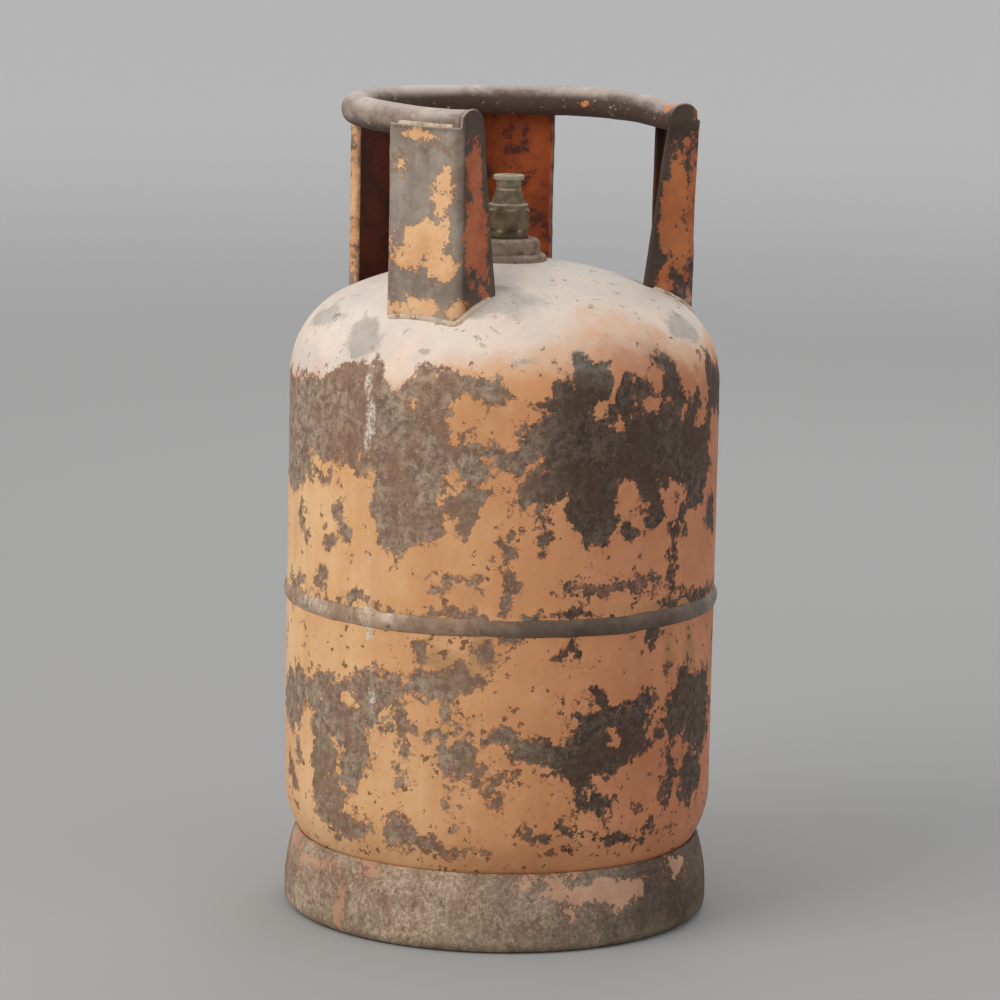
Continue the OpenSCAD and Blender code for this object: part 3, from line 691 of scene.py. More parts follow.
# %% Boss and its weld
boss_r, boss_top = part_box("valve_boss")[1][0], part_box("valve_boss")[1][2]
boss_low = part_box("valve_boss")[0][2]
BORE, SPIGOT, COLLAR_ROUND, BEAD = 13.1 * MM, 18 * MM, 4 * MM, 5 * MM
DROPS = 34


def make_boss():
    """Outline from the bore's foot, out under the spigot, up the collar, round its edge by a
    quarter circle and back to the bore."""
    seat = up_tan_z + float(rise(np.array(hole_r)))
    turn = np.linspace(0, math.pi / 2, 10)
    straight = np.linspace(seat, boss_top - COLLAR_ROUND, 12, endpoint=False)
    collar = np.c_[np.full(len(straight), boss_r), straight]
    edge = np.c_[boss_r - COLLAR_ROUND + COLLAR_ROUND * np.cos(turn),
                 boss_top - COLLAR_ROUND + COLLAR_ROUND * np.sin(turn)]
    flat = np.c_[np.linspace(boss_r - COLLAR_ROUND, BORE, 8)[1:], np.full(7, boss_top)]
    hidden = [[BORE, boss_low], [SPIGOT, boss_low], [SPIGOT, seat]]
    points = revolve(np.vstack([hidden, collar, edge, flat]), 160)
    rough = 0.35 * crumbled(points, 6 * MM, 181) + 0.12 * crumbled(points, 2 * MM, 185)
    rough = rough * (points[..., 2] > seat + MM) - 0.25
    radial = from_axis(points)
    keep = (np.linalg.norm(points[..., :2], axis=-1) > BORE + 2 * MM)
    return points + radial * (rough * keep)[..., None] * MM


def make_boss_weld(cols=180):
    """A bead of round section at the collar's foot. Its radius is about 1 + sin(n a + sin 5a)
    / 20 times BEAD, where n is the number of drops, and some noise."""
    turn = full_turn(20)
    foot_z = up_tan_z + float(rise(np.array(boss_r)))
    points = revolve(np.c_[boss_r + BEAD * np.cos(turn), foot_z + BEAD * np.sin(turn)], cols)
    middle = revolve(np.array([[boss_r, foot_z]]), cols)
    around = full_turn(cols)
    pulse = 0.94 + 0.05 * np.sin(around * DROPS + np.sin(around * 5))
    pulse = pulse + 0.05 * crumbled(points, 6 * MM, 191)
    return middle + (points - middle) * pulse[..., None]


boss = grid_piece("boss_collar", make_boss(), wrap_rows=True, wrap_cols=True)
boss_weld = grid_piece("boss_weld_bead", make_boss_weld(), wrap_rows=True, wrap_cols=True)
stands_for(boss, "valve_boss")
stands_for(boss_weld, "boss_weld")

# %% [markdown]
# The valve is turned from brass bar, with one length left six-sided for a spanner.
# So its radius is a function of height, and in the hexagon of the angle too: the
# flats are 14 mm from the axis divided by the cosine of the angle from their middle,
# and chamfers cut the corners back at both ends. The bore inside is part of the same
# closed outline.

# %% Valve
valve_low, valve_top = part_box("valve_body")[0][2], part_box("valve_body")[1][2]
HEX_TURN, HEX_FLAT, HEX_H, HEX_ROWS = math.radians(-33), 14.0, 14.5, 22
LIP_R, LIP_H, LIP_ROUND = 10.6, 3.4, 0.8
NECK_R, NECK_H, CONE_R, CONE_H, SHOULDER_H = 8.5, 6.2, 12.0, 10.5, 3.0
SHANK_R, SHANK_Z, CHAMBER_R, CHAMBER_Z, SEAT_R, SEAT_Z, MOUTH_R = 13, -43.6, 7.5, -16, 4, -12, 6
CORNER_R, CHAMFER_R = 15.95, 14.3


def valve_outline():
    """(radius, height) in mm down the outside, heights being below the lip's top, and 1 for
    each point that belongs to the hexagon or 0."""
    rounded = np.linspace(0, math.pi / 2, 6)
    lip_in = LIP_R - LIP_ROUND
    lip_top = np.c_[lip_in + LIP_ROUND * np.sin(rounded), -LIP_ROUND + LIP_ROUND * np.cos(rounded)]
    lip_low = np.c_[lip_in + LIP_ROUND * np.cos(rounded),
                    -LIP_H + LIP_ROUND - LIP_ROUND * np.sin(rounded)]
    cone_z = -LIP_H - NECK_H
    neck = np.c_[np.full(6, NECK_R), np.linspace(-LIP_H, cone_z, 6)]
    shoulder_z = cone_z - CONE_H
    cone = np.c_[np.linspace(NECK_R, CONE_R, 12), np.linspace(cone_z, shoulder_z, 12)]
    shoulder = np.c_[[HEX_FLAT - 0.4, HEX_FLAT, HEX_FLAT], shoulder_z - np.array([0, 0.4, 2.6])]
    hex_z = shoulder_z - SHOULDER_H
    hexagon = np.c_[np.full(HEX_ROWS, HEX_FLAT), hex_z - np.linspace(0, HEX_H, HEX_ROWS)]
    under = np.c_[np.full(3, HEX_FLAT + 0.2), hex_z - HEX_H - np.array([0.05, 3, 6])]
    above = np.vstack([[[MOUTH_R, 0]], lip_top, lip_low, neck, cone, shoulder])
    six = np.r_[np.zeros(len(above)), np.ones(HEX_ROWS), np.zeros(len(under))]
    return np.vstack([above, hexagon, under]), six


def make_valve(cols=216):
    """The outline and the bore carried round the axis. A point of the hexagon has the least
    of three radii: flat / cos(angle from its middle), the chamfer, and the worn corner."""
    outline, six = valve_outline()
    foot_z = (valve_low - valve_top) / MM
    inner = np.array([[SHANK_R, SHANK_Z], [SHANK_R, foot_z], [CHAMBER_R, foot_z],
                      [CHAMBER_R, CHAMBER_Z], [SEAT_R, CHAMBER_Z], [SEAT_R, SEAT_Z],
                      [MOUTH_R, SEAT_Z]])
    section = np.vstack([outline, inner])
    six = np.r_[six, np.zeros(len(inner))]
    turn = full_turn(cols)
    from_flat = (turn - HEX_TURN + math.pi / 6) % (math.pi / 3) - math.pi / 6
    corner = HEX_FLAT / np.cos(from_flat)
    depth = section[:, 1]
    in_hex = depth[six > 0]
    from_end = np.minimum(in_hex.max() - depth, depth - in_hex.min())
    chamfer = CHAMFER_R + 1.4 * np.clip(from_end, 0, 1.3)
    worn = np.minimum(corner[None, :], np.minimum(chamfer[:, None], CORNER_R))
    radius = np.where(six[:, None] > 0, worn, section[:, :1])
    z = valve_top + depth[:, None] * MM + 0 * turn
    points = np.stack([radius * np.cos(turn) * MM, radius * np.sin(turn) * MM, z], -1)
    outer = np.r_[np.ones(len(outline)), np.zeros(len(inner))][:, None]
    outer[0] = 0
    rough = 0.16 * crumbled(points, 5 * MM, 201) + 0.06 * crumbled(points, 1.6 * MM, 205)
    radial = from_axis(points)
    return points + radial * (rough * outer)[..., None] * MM


valve_points = make_valve()
valve = grid_piece("valve_turned", valve_points, wrap_rows=True, wrap_cols=True)
paint_field(valve, "pale", step((valve_points[..., 2] - valve_top) / MM, -11, -1))
stands_for(valve, "valve_body")
print("valve from", round(valve_low, 4), "to", round(valve_top, 4))

# %% [markdown]
# ## The guard
# Four posts are pressed from 3 mm sheet: an outer face, a short lip on one side and a
# deep flank on the other, whose edge slants from the dome up to the tube. Their plan
# and sizes are the model's. Each column of the grid is a place along that plan and
# runs from the dome, which is curved, up to the post's top edge.

# %% Sizes of the guard
OFF = np.array([3.8, -3.2])
FACE_R, POST_W, BEND, LEAN = 124.5, 57.0, 5.0, math.radians(10)
FOOT_U, TOP_U, LIP_LEN, THICK, FIT, TUBE_R = 37.0, 19.0, 5.0, 3.0, 0.1, 10.65
POSTS = {"left": (-70.5, 1, True), "right": (70.5, -1, True),
         "rear": (140.0, 1, False), "far": (-165.5, -1, False)}
ring_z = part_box("handle_ring")[1][2] / MM - TUBE_R
ring_r = FACE_R - THICK - FIT - TUBE_R
bend_x, bend_y = POST_W / 2 - BEND, BEND - FACE_R
tab_r = TUBE_R + 0.5
tab_u = (FACE_R - BEND - ring_r) / math.cos(LEAN) + (BEND - THICK / 2) * math.tan(LEAN)
face_top = ring_z - 1
under_tube = ring_z - TUBE_R - 0.3
print("handle at", round(ring_z, 1), "mm, ring radius", round(ring_r, 2))


def set_out(xy, deg, side):
    """Turns plan points drawn for a post that faces -Y to the post's own angle."""
    a = math.radians(deg)
    x, y = xy[..., 0] * side, xy[..., 1]
    return np.stack([x * math.cos(a) - y * math.sin(a) + OFF[0],
                     x * math.sin(a) + y * math.cos(a) + OFF[1]], -1)


def dome_z(xy):
    """Height of the dome in mm under a plan point in mm."""
    return up_tan_z / MM + rise(np.linalg.norm(xy, axis=-1) * MM) / MM


# %% [markdown]
# The guard has been knocked: the right post's top has sunk and leans out, with the
# end of the tube, and the left one a little. One smooth push does it to the posts,
# the tube and the welds alike, so they stay together.

# %% Knocks of the guard
KNOCKS = [(66, 4.6, 2.2), (-66, 2.3, 0.6), (150, 0.6, -0.8)]
KNOCK_FROM, KNOCK_WIDE = 445, 24


def knocked(points):
    """Each knock (angle, drop, push outwards) moves what is near its angle by
    up^1.6 exp(-(angle gap / wide)^2), where up grows from the dome to the tube."""
    xy = points[..., :2] / MM - OFF
    angle = np.degrees(np.arctan2(xy[..., 0], -xy[..., 1]))
    away = np.stack([np.sin(np.radians(angle)), -np.cos(np.radians(angle))], -1)
    up = np.clip((points[..., 2] / MM - KNOCK_FROM) / (ring_z - KNOCK_FROM), 0, 1.1) ** 1.6
    moved = points.copy()
    for at, drop, out in KNOCKS:
        near = up * np.exp(-(((angle - at + 180) % 360 - 180) / KNOCK_WIDE) ** 2)
        moved[..., 2] -= near * drop * MM
        moved[..., :2] += (near * out * MM)[..., None] * away
    return moved


# %% [markdown]
# The plan is drawn along the middle of the sheet. Its two sides lie half a thickness
# away, and the sheet thins at its rims, which makes them round.

# %% Plan of a post
LIP_COLS, BEND_COLS, FACE_COLS, FLANK_COLS = 6, 8, 44, 34


def post_plan(end_post):
    """Middle line of the sheet: for each column its bottom and top plan point, the outward
    side, its place s along the plan from the face's middle, and the top edge's height.
    An end post's flank ends in a tab, an arc of radius tab_r round the tube's middle."""
    lean = LEAN if end_post else 0.0
    mid = BEND - THICK / 2
    across, along = np.array([[math.cos(lean), -math.sin(lean)], [math.sin(lean), math.cos(lean)]])
    lip = np.linspace(LIP_LEN, 0, LIP_COLS, endpoint=False)
    near, deep = np.array([-bend_x, bend_y]), np.array([bend_x, bend_y])
    turn_a = np.radians(np.linspace(180, 270, BEND_COLS, endpoint=False))
    turn_b = np.radians(np.linspace(270, 360 - math.degrees(lean), BEND_COLS, endpoint=False))
    face_x = np.linspace(-bend_x, bend_x, FACE_COLS, endpoint=False)
    f = np.linspace(0, 1, FLANK_COLS)
    side = [np.tile([-1.0, 0.0], (LIP_COLS, 1)), np.c_[np.cos(turn_a), np.sin(turn_a)],
            np.tile([0.0, -1.0], (FACE_COLS, 1)), np.c_[np.cos(turn_b), np.sin(turn_b)],
            np.tile(across, (FLANK_COLS, 1))]
    low = [near + np.c_[np.full(LIP_COLS, -mid), lip], near + mid * side[1],
           np.c_[face_x, np.full(FACE_COLS, bend_y - mid)], deep + mid * side[3],
           deep + mid * across + FOOT_U * f[:, None] * along]
    if end_post:
        turn = math.acos(-tab_u / tab_r) * 0.985 * (1 - f)
        top_u, top_z = tab_u + tab_r * np.cos(turn), ring_z + tab_r * np.sin(turn)
        top_u[0] = 0
    else:
        top_u, top_z = TOP_U * f, np.full(FLANK_COLS, under_tube)
    top = low[:4] + [deep + mid * across + top_u[:, None] * along]
    z = np.r_[np.full(LIP_COLS, under_tube), np.full(FACE_COLS + 2 * BEND_COLS, face_top), top_z]
    s = np.r_[-bend_x - BEND - lip, np.linspace(-bend_x - BEND, -bend_x, BEND_COLS), face_x,
              np.linspace(bend_x, bend_x + BEND, BEND_COLS), bend_x + BEND + FOOT_U * f]
    return np.vstack(low), np.vstack(top), np.vstack(side), s, z


print("columns of a post:", len(post_plan(True)[0]))


# %% Posts
def make_post(deg, side, end_post, seed, rows=84):
    """Columns go along the outside of the plan and back along the inside; rows are a share v
    of the way up from the dome: point = (1 - v) x bottom + v x top."""
    low, top, out, s, top_z = post_plan(end_post)
    low_at, top_at = set_out(low, deg, side), set_out(top, deg, side)
    normal = set_out(out, deg, side) - OFF
    v = np.r_[0, np.linspace(0.004, 0.996, rows - 2), 1][:, None]
    base_z = dome_z(low_at) - 0.6
    middle = np.concatenate([low_at * (1 - v[..., None]) + top_at * v[..., None],
                             (base_z * (1 - v) + top_z * v)[..., None]], -1)
    half = np.full((rows, len(s)), THICK / 2)
    half[:, [0, -1]] *= 0.5
    half[[0, -1]] *= 0.5
    across = np.concatenate([normal, np.zeros((len(s), 1))], 1)
    dents = 0.5 * crumbled(middle * MM, 38 * MM, seed) + 0.1 * crumbled(middle * MM, 4 * MM, seed + 4)
    dents = dents * step(v, 0, 0.15)
    place = middle + dents[..., None] * across
    sheet = np.concatenate([place + half[..., None] * across,
                            (place - half[..., None] * across)[:, ::-1]], 1) * MM
    z = np.concatenate([middle[..., 2], middle[:, ::-1, 2]], 1)
    inner = np.r_[np.zeros(len(s)), np.ones(len(s))]
    return knocked(sheet), np.tile(np.r_[s, s[::-1]], (rows, 1)), z, np.tile(inner, (rows, 1))


print("rows of a post:", len(make_post(*POSTS["rear"], seed=1)[0]))

# %% [markdown]
# What paint is left on the posts lies in patches. They are ovals again, in a post's
# own measure: along the sheet from the middle of its face, and the height. Each post
# has its own amount of painted shade on the outside, and on the inside its own amount
# of painted shade that darkens the red rust.

# %% Paint on the posts
POST_PAINT = {
    "left": [(-6, 555, 9, 3), (17, 518, 6, 16), (15, 500, 5, 14), (4, 482, 20, 13),
             (-12, 470, 12, 12), (14, 466, 12, 12), (0, 434, 24, 6), (-18, 532, 2, 4)],
    "right": [(46, 498, 12, 36), (40, 546, 6, 3), (0, 500, 26, 50), (-16, 450, 10, 10),
              (10, 548, 14, 6), (38, 470, 8, 14), (50, 446, 4, 12)],
    "rear": [(0, 510, 26, 44), (-10, 455, 12, 12), (44, 490, 8, 26), (14, 450, 8, 8)],
    "far": [(2, 505, 25, 48), (46, 480, 10, 24), (-12, 452, 12, 10), (-33, 500, 8, 64)]}
POST_RED = {"left": [(44, 532, 9, 18), (46, 486, 14, 32), (50, 452, 3, 12)],
            "right": [(30, 500, 3, 56), (50, 440, 12, 7)],
            "rear": [(45, 500, 10, 30)], "far": [(45, 500, 10, 30)]}
# Painted shade of each post, as a share: the first table darkens its outside, the second its inner faces.
POST_DIM = {"left": 0.0, "right": 1.0, "rear": 0.4, "far": 0.2}
POST_INNER_SHADE = {"left": 0.6, "right": 0.9, "rear": 0.0, "far": 0.9}
posts = {}
for order, (name, (deg, side, end_post)) in enumerate(POSTS.items()):
    points, s, z, inner = make_post(deg, side, end_post, 211 + 10 * order)
    post = grid_piece("guard_post_" + name + "_sheet", points, wrap_cols=True, zips=(0, -1))
    wob_s = s + 2.5 * crumbled(points, 9 * MM, 251 + order)
    wob_z = z + 4 * crumbled(points, 10 * MM, 261 + order)
    paint_field(post, "paint", as_mask(ovals(wob_s, wob_z, POST_PAINT[name]), 14))
    paint_field(post, "red", as_mask(ovals(wob_s, wob_z, POST_RED[name]), 14))
    # Painted shade: dim darkens the outside, more on the deep flank, and dark darkens the inner faces.
    paint_field(post, "dim", np.maximum(POST_DIM[name], 0.9 * step(s, 27, 33)))
    paint_field(post, "dark", POST_INNER_SHADE[name] + 0 * s)
    paint_field(post, "inner", inner)
    rim = np.minimum(np.minimum(face_top - z, s - s.min()), s.max() - s)
    paint_field(post, "rim", step(rim, 5, 0))
    paint_field(post, "low", step(z, 446, 424))
    stands_for(post, "guard_post_" + name)
    posts[name] = post
print("posts:", ", ".join(post.name for post in posts.values()))

# %% [markdown]
# ## The handle
# One steel tube is bent almost into a circle. Its path is an arc with a straight run
# at each end, and a circle is carried along it. The run ends on the flank of its post,
# which leans, so each point of the circle goes on until it meets that plane.

# %% Handle
def handle_end_x(y):
    """Where the flank's inner plane lies, along the straight run, for a point at y."""
    inset = BEND - THICK - FIT
    u = (y - bend_y + inset * math.sin(LEAN)) / math.cos(LEAN)
    return bend_x + inset * math.cos(LEAN) + u * math.sin(LEAN)


def handle_half(side, around):
    """Half of the tube, from the back's middle to the flank: the ring's angle runs down to
    the post's angle, and then a share of the straight run is added."""
    post_deg = POSTS["left" if side > 0 else "right"][0]
    share = np.linspace(0, 1, 14)[:, None]
    swing = np.linspace(180, abs(post_deg), 110, endpoint=False)
    a = np.radians(-swing * side)[:, None]
    dy, dz = TUBE_R * np.cos(around), TUBE_R * np.sin(around)
    radius = ring_r - dy
    arc = np.stack([OFF[0] + radius * np.sin(a), OFF[1] - radius * np.cos(a), ring_z + dz + 0 * a], -1)
    y = -ring_r + dy
    xy = set_out(np.stack([share * handle_end_x(y), y + 0 * share], -1), post_deg, side)
    run = np.concatenate([xy, (ring_z + dz + 0 * share)[..., None]], -1)
    return np.vstack([arc, run])


def make_handle():
    """Both halves in one grid, from the right post's end round the back to the left's."""
    around = full_turn(48)
    points = np.vstack([handle_half(-1, around)[::-1], handle_half(1, around)[1:]]) * MM
    middle = points.mean(1, keepdims=True)
    dents = 0.22 * crumbled(points, 18 * MM, 301) + 0.1 * crumbled(points, 4 * MM, 305) - 0.1
    out = (points - middle) / np.linalg.norm(points - middle, axis=-1, keepdims=True)
    return knocked(points + out * dents[..., None] * MM)


handle_points = make_handle()
handle = grid_piece("handle_tube", handle_points, wrap_cols=True, caps=(0, -1))
deg, z = wall_place(handle_points)
wob = crumbled(handle_points, 9 * MM, 311)
FLECKS = [(-86, 556, 3, 3), (36, 563, 1.5, 4), (39, 564, 1.5, 4), (-40, 571, 2, 1.5),
          (100, 562, 3, 3), (150, 560, 3, 2)]
paint_field(handle, "paint", as_mask(ovals(deg + 3 * wob, z + 1.5 * wob, FLECKS, 2), 3))
# Painted shade: under darkens the tube's lower part and its inner side, which faces the axis.
reach = np.linalg.norm(handle_points[..., :2] / MM - OFF, axis=-1) - ring_r
inner_side_shade = step(reach, 3, -7) * step(z, ring_z + TUBE_R, ring_z + 3)
paint_field(handle, "under", np.maximum(step(z, ring_z - 1, ring_z - 9), inner_side_shade))
stands_for(handle, "handle_ring")

# %% [markdown]
# ## Hand-laid welds
# A hand-laid bead is a row of overlapping drops. So a bead is a tube along a path
# whose radius rises and falls a little with every drop, with round ends.

# %% Beads
DROP_LEN, BEAD_STEP = 3.1, 0.7


def bead(name, path, radius, seed, sides=14):
    """A circle carried along the path; its radius is 1 plus a small wave every 3 mm and some
    noise, times a half-ellipse at both ends. Its frame leans on the up direction."""
    gaps = np.linalg.norm(np.diff(path, axis=0), axis=1)
    run = np.r_[0, np.cumsum(gaps)]
    at = np.linspace(0, run[-1], int(run[-1] / BEAD_STEP) + 8)
    line = np.stack([np.interp(at, run, path[:, k]) for k in range(3)], 1)
    ahead = np.gradient(line, axis=0)
    ahead /= np.linalg.norm(ahead, axis=1, keepdims=True)
    side = np.cross(ahead, [0, 0, 1])
    side /= np.linalg.norm(side, axis=1, keepdims=True)
    top = np.cross(side, ahead)
    end = np.minimum(at, run[-1] - at)
    cap = np.sqrt(np.clip(1 - (1 - np.clip(end / radius, 0, 1)) ** 2, 0.02, 1))
    turn = full_turn(sides)
    pulse = 1 + 0.09 * np.abs(np.sin(at * math.pi / DROP_LEN))[:, None]
    place = line[:, None] * MM + side[:, None] * np.cos(turn)[None, :, None] * MM
    r = radius * 0.9 * cap[:, None] * pulse * (1 + 0.12 * crumbled(place, 5 * MM, seed))
    out = (r * np.cos(turn))[..., None] * side[:, None] + (r * np.sin(turn))[..., None] * top[:, None]
    points = line[:, None] + out
    return grid_piece(name, knocked(points * MM), wrap_cols=True, caps=(0, -1))


def join_pieces(name, pieces):
    """Several beads as one object."""
    with bpy.context.temp_override(active_object=pieces[0], selected_editable_objects=pieces):
        bpy.ops.object.join()
    pieces[0].name = name
    return pieces[0]


foot_beads, tube_beads = [], []
for order, (name, (deg, side, end_post)) in enumerate(POSTS.items()):
    low, top, out, s, top_z = post_plan(end_post)
    line = set_out((low + out * (THICK / 2 + 0.3))[13:-6], deg, side)
    foot_beads.append(bead("foot_bead_" + name, np.c_[line, dome_z(line)], 2.2, 321 + order))
    across = np.linspace(-bend_x + 2, bend_x - 2, 12)
    line = set_out(np.c_[across, np.full(12, THICK - FACE_R)], deg, side)
    path = np.c_[line, np.full(12, face_top + 0.4)]
    tube_beads.append(bead("tube_bead_" + name, path, 2.0, 331 + order))
foot_beads = join_pieces("post_foot_beads", foot_beads)
tube_beads = join_pieces("handle_beads", tube_beads)
stands_for(foot_beads, "post_foot_welds")
stands_for(tube_beads, "handle_welds")
print("beads:", len(foot_beads.data.vertices), len(tube_beads.data.vertices), "points")

# %% [markdown]
# ## Spring
# The poppet's spring is a coil of round wire. Half a turn lies flat at each end, and
# the turns between rise evenly.

# %% Spring
WIRE_R = 0.45 * MM
TURNS, FLAT_TURN = 6, 0.5
spring_low, spring_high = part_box("poppet_spring")
spring_len = spring_high[2] - spring_low[2]


def make_spring(rings=289, sides=14):
    """The wire's middle goes round at (R cos t, R sin t) while it rises by the share
    clip((turn - flat) / (turns - 2 flat), 0, 1); a circle of wire leans on its direction."""
    turn = np.linspace(0, TURNS, rings)
    angle = 2 * math.pi * turn
    away = np.stack([np.cos(angle), np.sin(angle), np.zeros(rings)], 1)
    climb = np.clip((turn - FLAT_TURN) / (TURNS - 2 * FLAT_TURN), 0, 1)
    middle = away * (spring_high[0] - WIRE_R)
    middle[:, 2] = spring_low[2] + WIRE_R + (spring_len - 2 * WIRE_R) * climb
    ahead = np.gradient(middle, axis=0)
    ahead /= np.linalg.norm(ahead, axis=1, keepdims=True)
    top = np.cross(away, ahead)
    wire = full_turn(sides)[None, :, None]
    points = middle[:, None] + WIRE_R * (np.cos(wire) * away[:, None] + np.sin(wire) * top[:, None])
    return grid_piece("spring_coil", points, wrap_cols=True, caps=(0, -1))


spring = make_spring()
stands_for(spring, "poppet_spring")
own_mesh(spring)

# %% [markdown]
# ## Finishes
# Every finish is worked out from places on the object, with no pictures. Colours are
# written as they should look, 0 to 255, and turned into the linear numbers that
# sockets take. Short helpers add a node, a mix of colours, a soft threshold, a sum and
# a product.

# %% Node helpers
def tone(r, g, b):
    """The linear colour of a shade written from 0 to 255."""
    c = np.array([r, g, b]) / 255
    linear = np.where(c <= 0.04045, c / 12.92, ((c + 0.055) / 1.055) ** 2.4)
    return (*(float(v) for v in linear), 1.0)


def feed(tree, inputs, sockets):
    """Links an input where its value is another node's output, and otherwise sets it."""
    for key, value in sockets.items():
        if isinstance(value, bpy.types.NodeSocket):
            tree.links.new(value, inputs[key])
        else:
            inputs[key].default_value = value


def add(tree, kind, sockets, **settings):
    new = tree.nodes.new("ShaderNode" + kind)
    for key, value in settings.items():
        setattr(new, key, value)
    feed(tree, new.inputs, sockets)
    return new


def mixed(tree, share, first, second):
    """(1 - share) x first + share x second, for colours."""
    return add(tree, "Mix", {0: share, 6: first, 7: second}, data_type="RGBA").outputs[2]


def ramp(tree, value, low, high, to_low=0.0, to_high=1.0):
    """A smooth step from to_low, where value is below low, to to_high, where it is above high."""
    return add(tree, "MapRange", {"Value": value, "From Min": low, "From Max": high, "To Min": to_low,
                                  "To Max": to_high}, interpolation_type="SMOOTHSTEP").outputs["Result"]


def maths(tree, operation, a, b=0.0, clamp=False):
    return add(tree, "Math", {0: a, 1: b}, operation=operation, use_clamp=clamp).outputs[0]


def times(tree, a, b):
    return maths(tree, "MULTIPLY", a, b)


def plus(tree, a, b):
    return maths(tree, "ADD", a, b)


def noise(tree, vector, scale, detail=5.0, rough=0.6, distort=0.0):
    return add(tree, "TexNoise", {"Vector": vector, "Scale": scale, "Detail": detail, "Roughness": rough,
                                  "Distortion": distort}).outputs["Fac"]


def stored(tree, name):
    """The number that paint_field stored for each point under this name."""
    return add(tree, "Attribute", {}, attribute_name=name).outputs["Fac"]


print("a written grey of 128 is", round(tone(128, 128, 128)[0], 3), "in linear numbers")


# %% [markdown]
# Effects that several finishes share are node groups, each with named inputs and
# outputs: the ragged edge where paint ends, streaks that run down, small chips, short
# nicks, dust on what faces up, and the grit of a rusted surface.

# %% Shared node groups
def new_group(name, takes, gives):
    """An empty group; takes and gives list its sockets as (name, kind, default)."""
    group = bpy.data.node_groups.new(name, "ShaderNodeTree")
    for socket, kind, default in takes:
        made = group.interface.new_socket(socket, in_out="INPUT", socket_type="NodeSocket" + kind)
        if kind == "Float":
            made.default_value = default
    for socket in gives:
        group.interface.new_socket(socket, in_out="OUTPUT", socket_type="NodeSocketFloat")
    start = group.nodes.new("NodeGroupInput").outputs
    end = group.nodes.new("NodeGroupOutput").inputs
    return group, start, end


def make_ragged_edge():
    """Bare is where the stored field, moved by coarse and fine noise, passes one half.
    Border reaches further out by Rim, for the stain round it."""
    group, take, give = new_group("ragged_edge", [("Field", "Float", 0.0), ("Vector", "Vector", 0),
                                  ("Scale", "Float", 60.0), ("Raggedness", "Float", 0.3),
                                  ("Softness", "Float", 0.03), ("Rim", "Float", 0.06)],
                                  ["Bare", "Border"])
    coarse = noise(group, take["Vector"], take["Scale"], 8.0, 0.7)
    fine = noise(group, take["Vector"], times(group, take["Scale"], 3.7), 6.0, 0.72)
    both = plus(group, coarse, times(group, fine, 0.5))
    shifted = times(group, maths(group, "SUBTRACT", both, 0.75), take["Raggedness"])
    level = plus(group, take["Field"], shifted)
    low = maths(group, "SUBTRACT", 0.5, take["Softness"])
    high = plus(group, 0.5, take["Softness"])
    group.links.new(ramp(group, level, low, high), give["Bare"])
    outer = maths(group, "SUBTRACT", low, take["Rim"])
    group.links.new(ramp(group, level, outer, low), give["Border"])
    return group


def make_streaks():
    """Noise read at a place whose height is divided by Stretch, so its spots run down."""
    group, take, give = new_group("streaks", [("Vector", "Vector", 0), ("Scale", "Float", 60.0),
                                              ("Stretch", "Float", 8.0)], ["Value"])
    parts = add(group, "SeparateXYZ", {0: take["Vector"]})
    down = maths(group, "DIVIDE", parts.outputs["Z"], take["Stretch"])
    place = add(group, "CombineXYZ", {"X": parts.outputs["X"], "Y": parts.outputs["Y"], "Z": down})
    value = noise(group, place.outputs[0], take["Scale"], 4.0, 0.6)
    group.links.new(ramp(group, value, 0.3, 0.7), give["Value"])
    return group


def make_chips():
    """Each cell of a Voronoi pattern, whose place noise has pushed about, draws a number.
    Those above 1 - Amount have a chip, as wide as the number is high."""
    group, take, give = new_group("chips", [("Vector", "Vector", 0), ("Scale", "Float", 90.0),
                                            ("Amount", "Float", 0.3)], ["Mask"])
    fine = times(group, take["Scale"], 1.3)
    push = add(group, "TexNoise", {"Vector": take["Vector"], "Scale": fine, "Detail": 4.0,
                                   "Roughness": 0.65}).outputs["Color"]
    centred = add(group, "VectorMath", {0: push, 1: (0.5, 0.5, 0.5)}, operation="SUBTRACT").outputs[0]
    reach = maths(group, "DIVIDE", 2.4, take["Scale"])
    moved = add(group, "VectorMath", {0: centred, "Scale": reach}, operation="SCALE").outputs[0]
    place = add(group, "VectorMath", {0: moved, 1: take["Vector"]}, operation="ADD").outputs[0]
    cell = add(group, "TexVoronoi", {"Vector": place, "Scale": take["Scale"]})
    drawn = add(group, "SeparateColor", {0: cell.outputs["Color"]}).outputs[0]
    width = ramp(group, drawn, maths(group, "SUBTRACT", 1.0, take["Amount"]), 1.0, 0.0, 0.42)
    shake = noise(group, take["Vector"], times(group, take["Scale"], 3.0), 3.0)
    shaken = plus(group, cell.outputs["Distance"], times(group, shake, 0.22))
    gap = maths(group, "SUBTRACT", plus(group, width, 0.08), shaken)
    group.links.new(ramp(group, gap, 0.0, 0.05), give["Mask"])
    return group


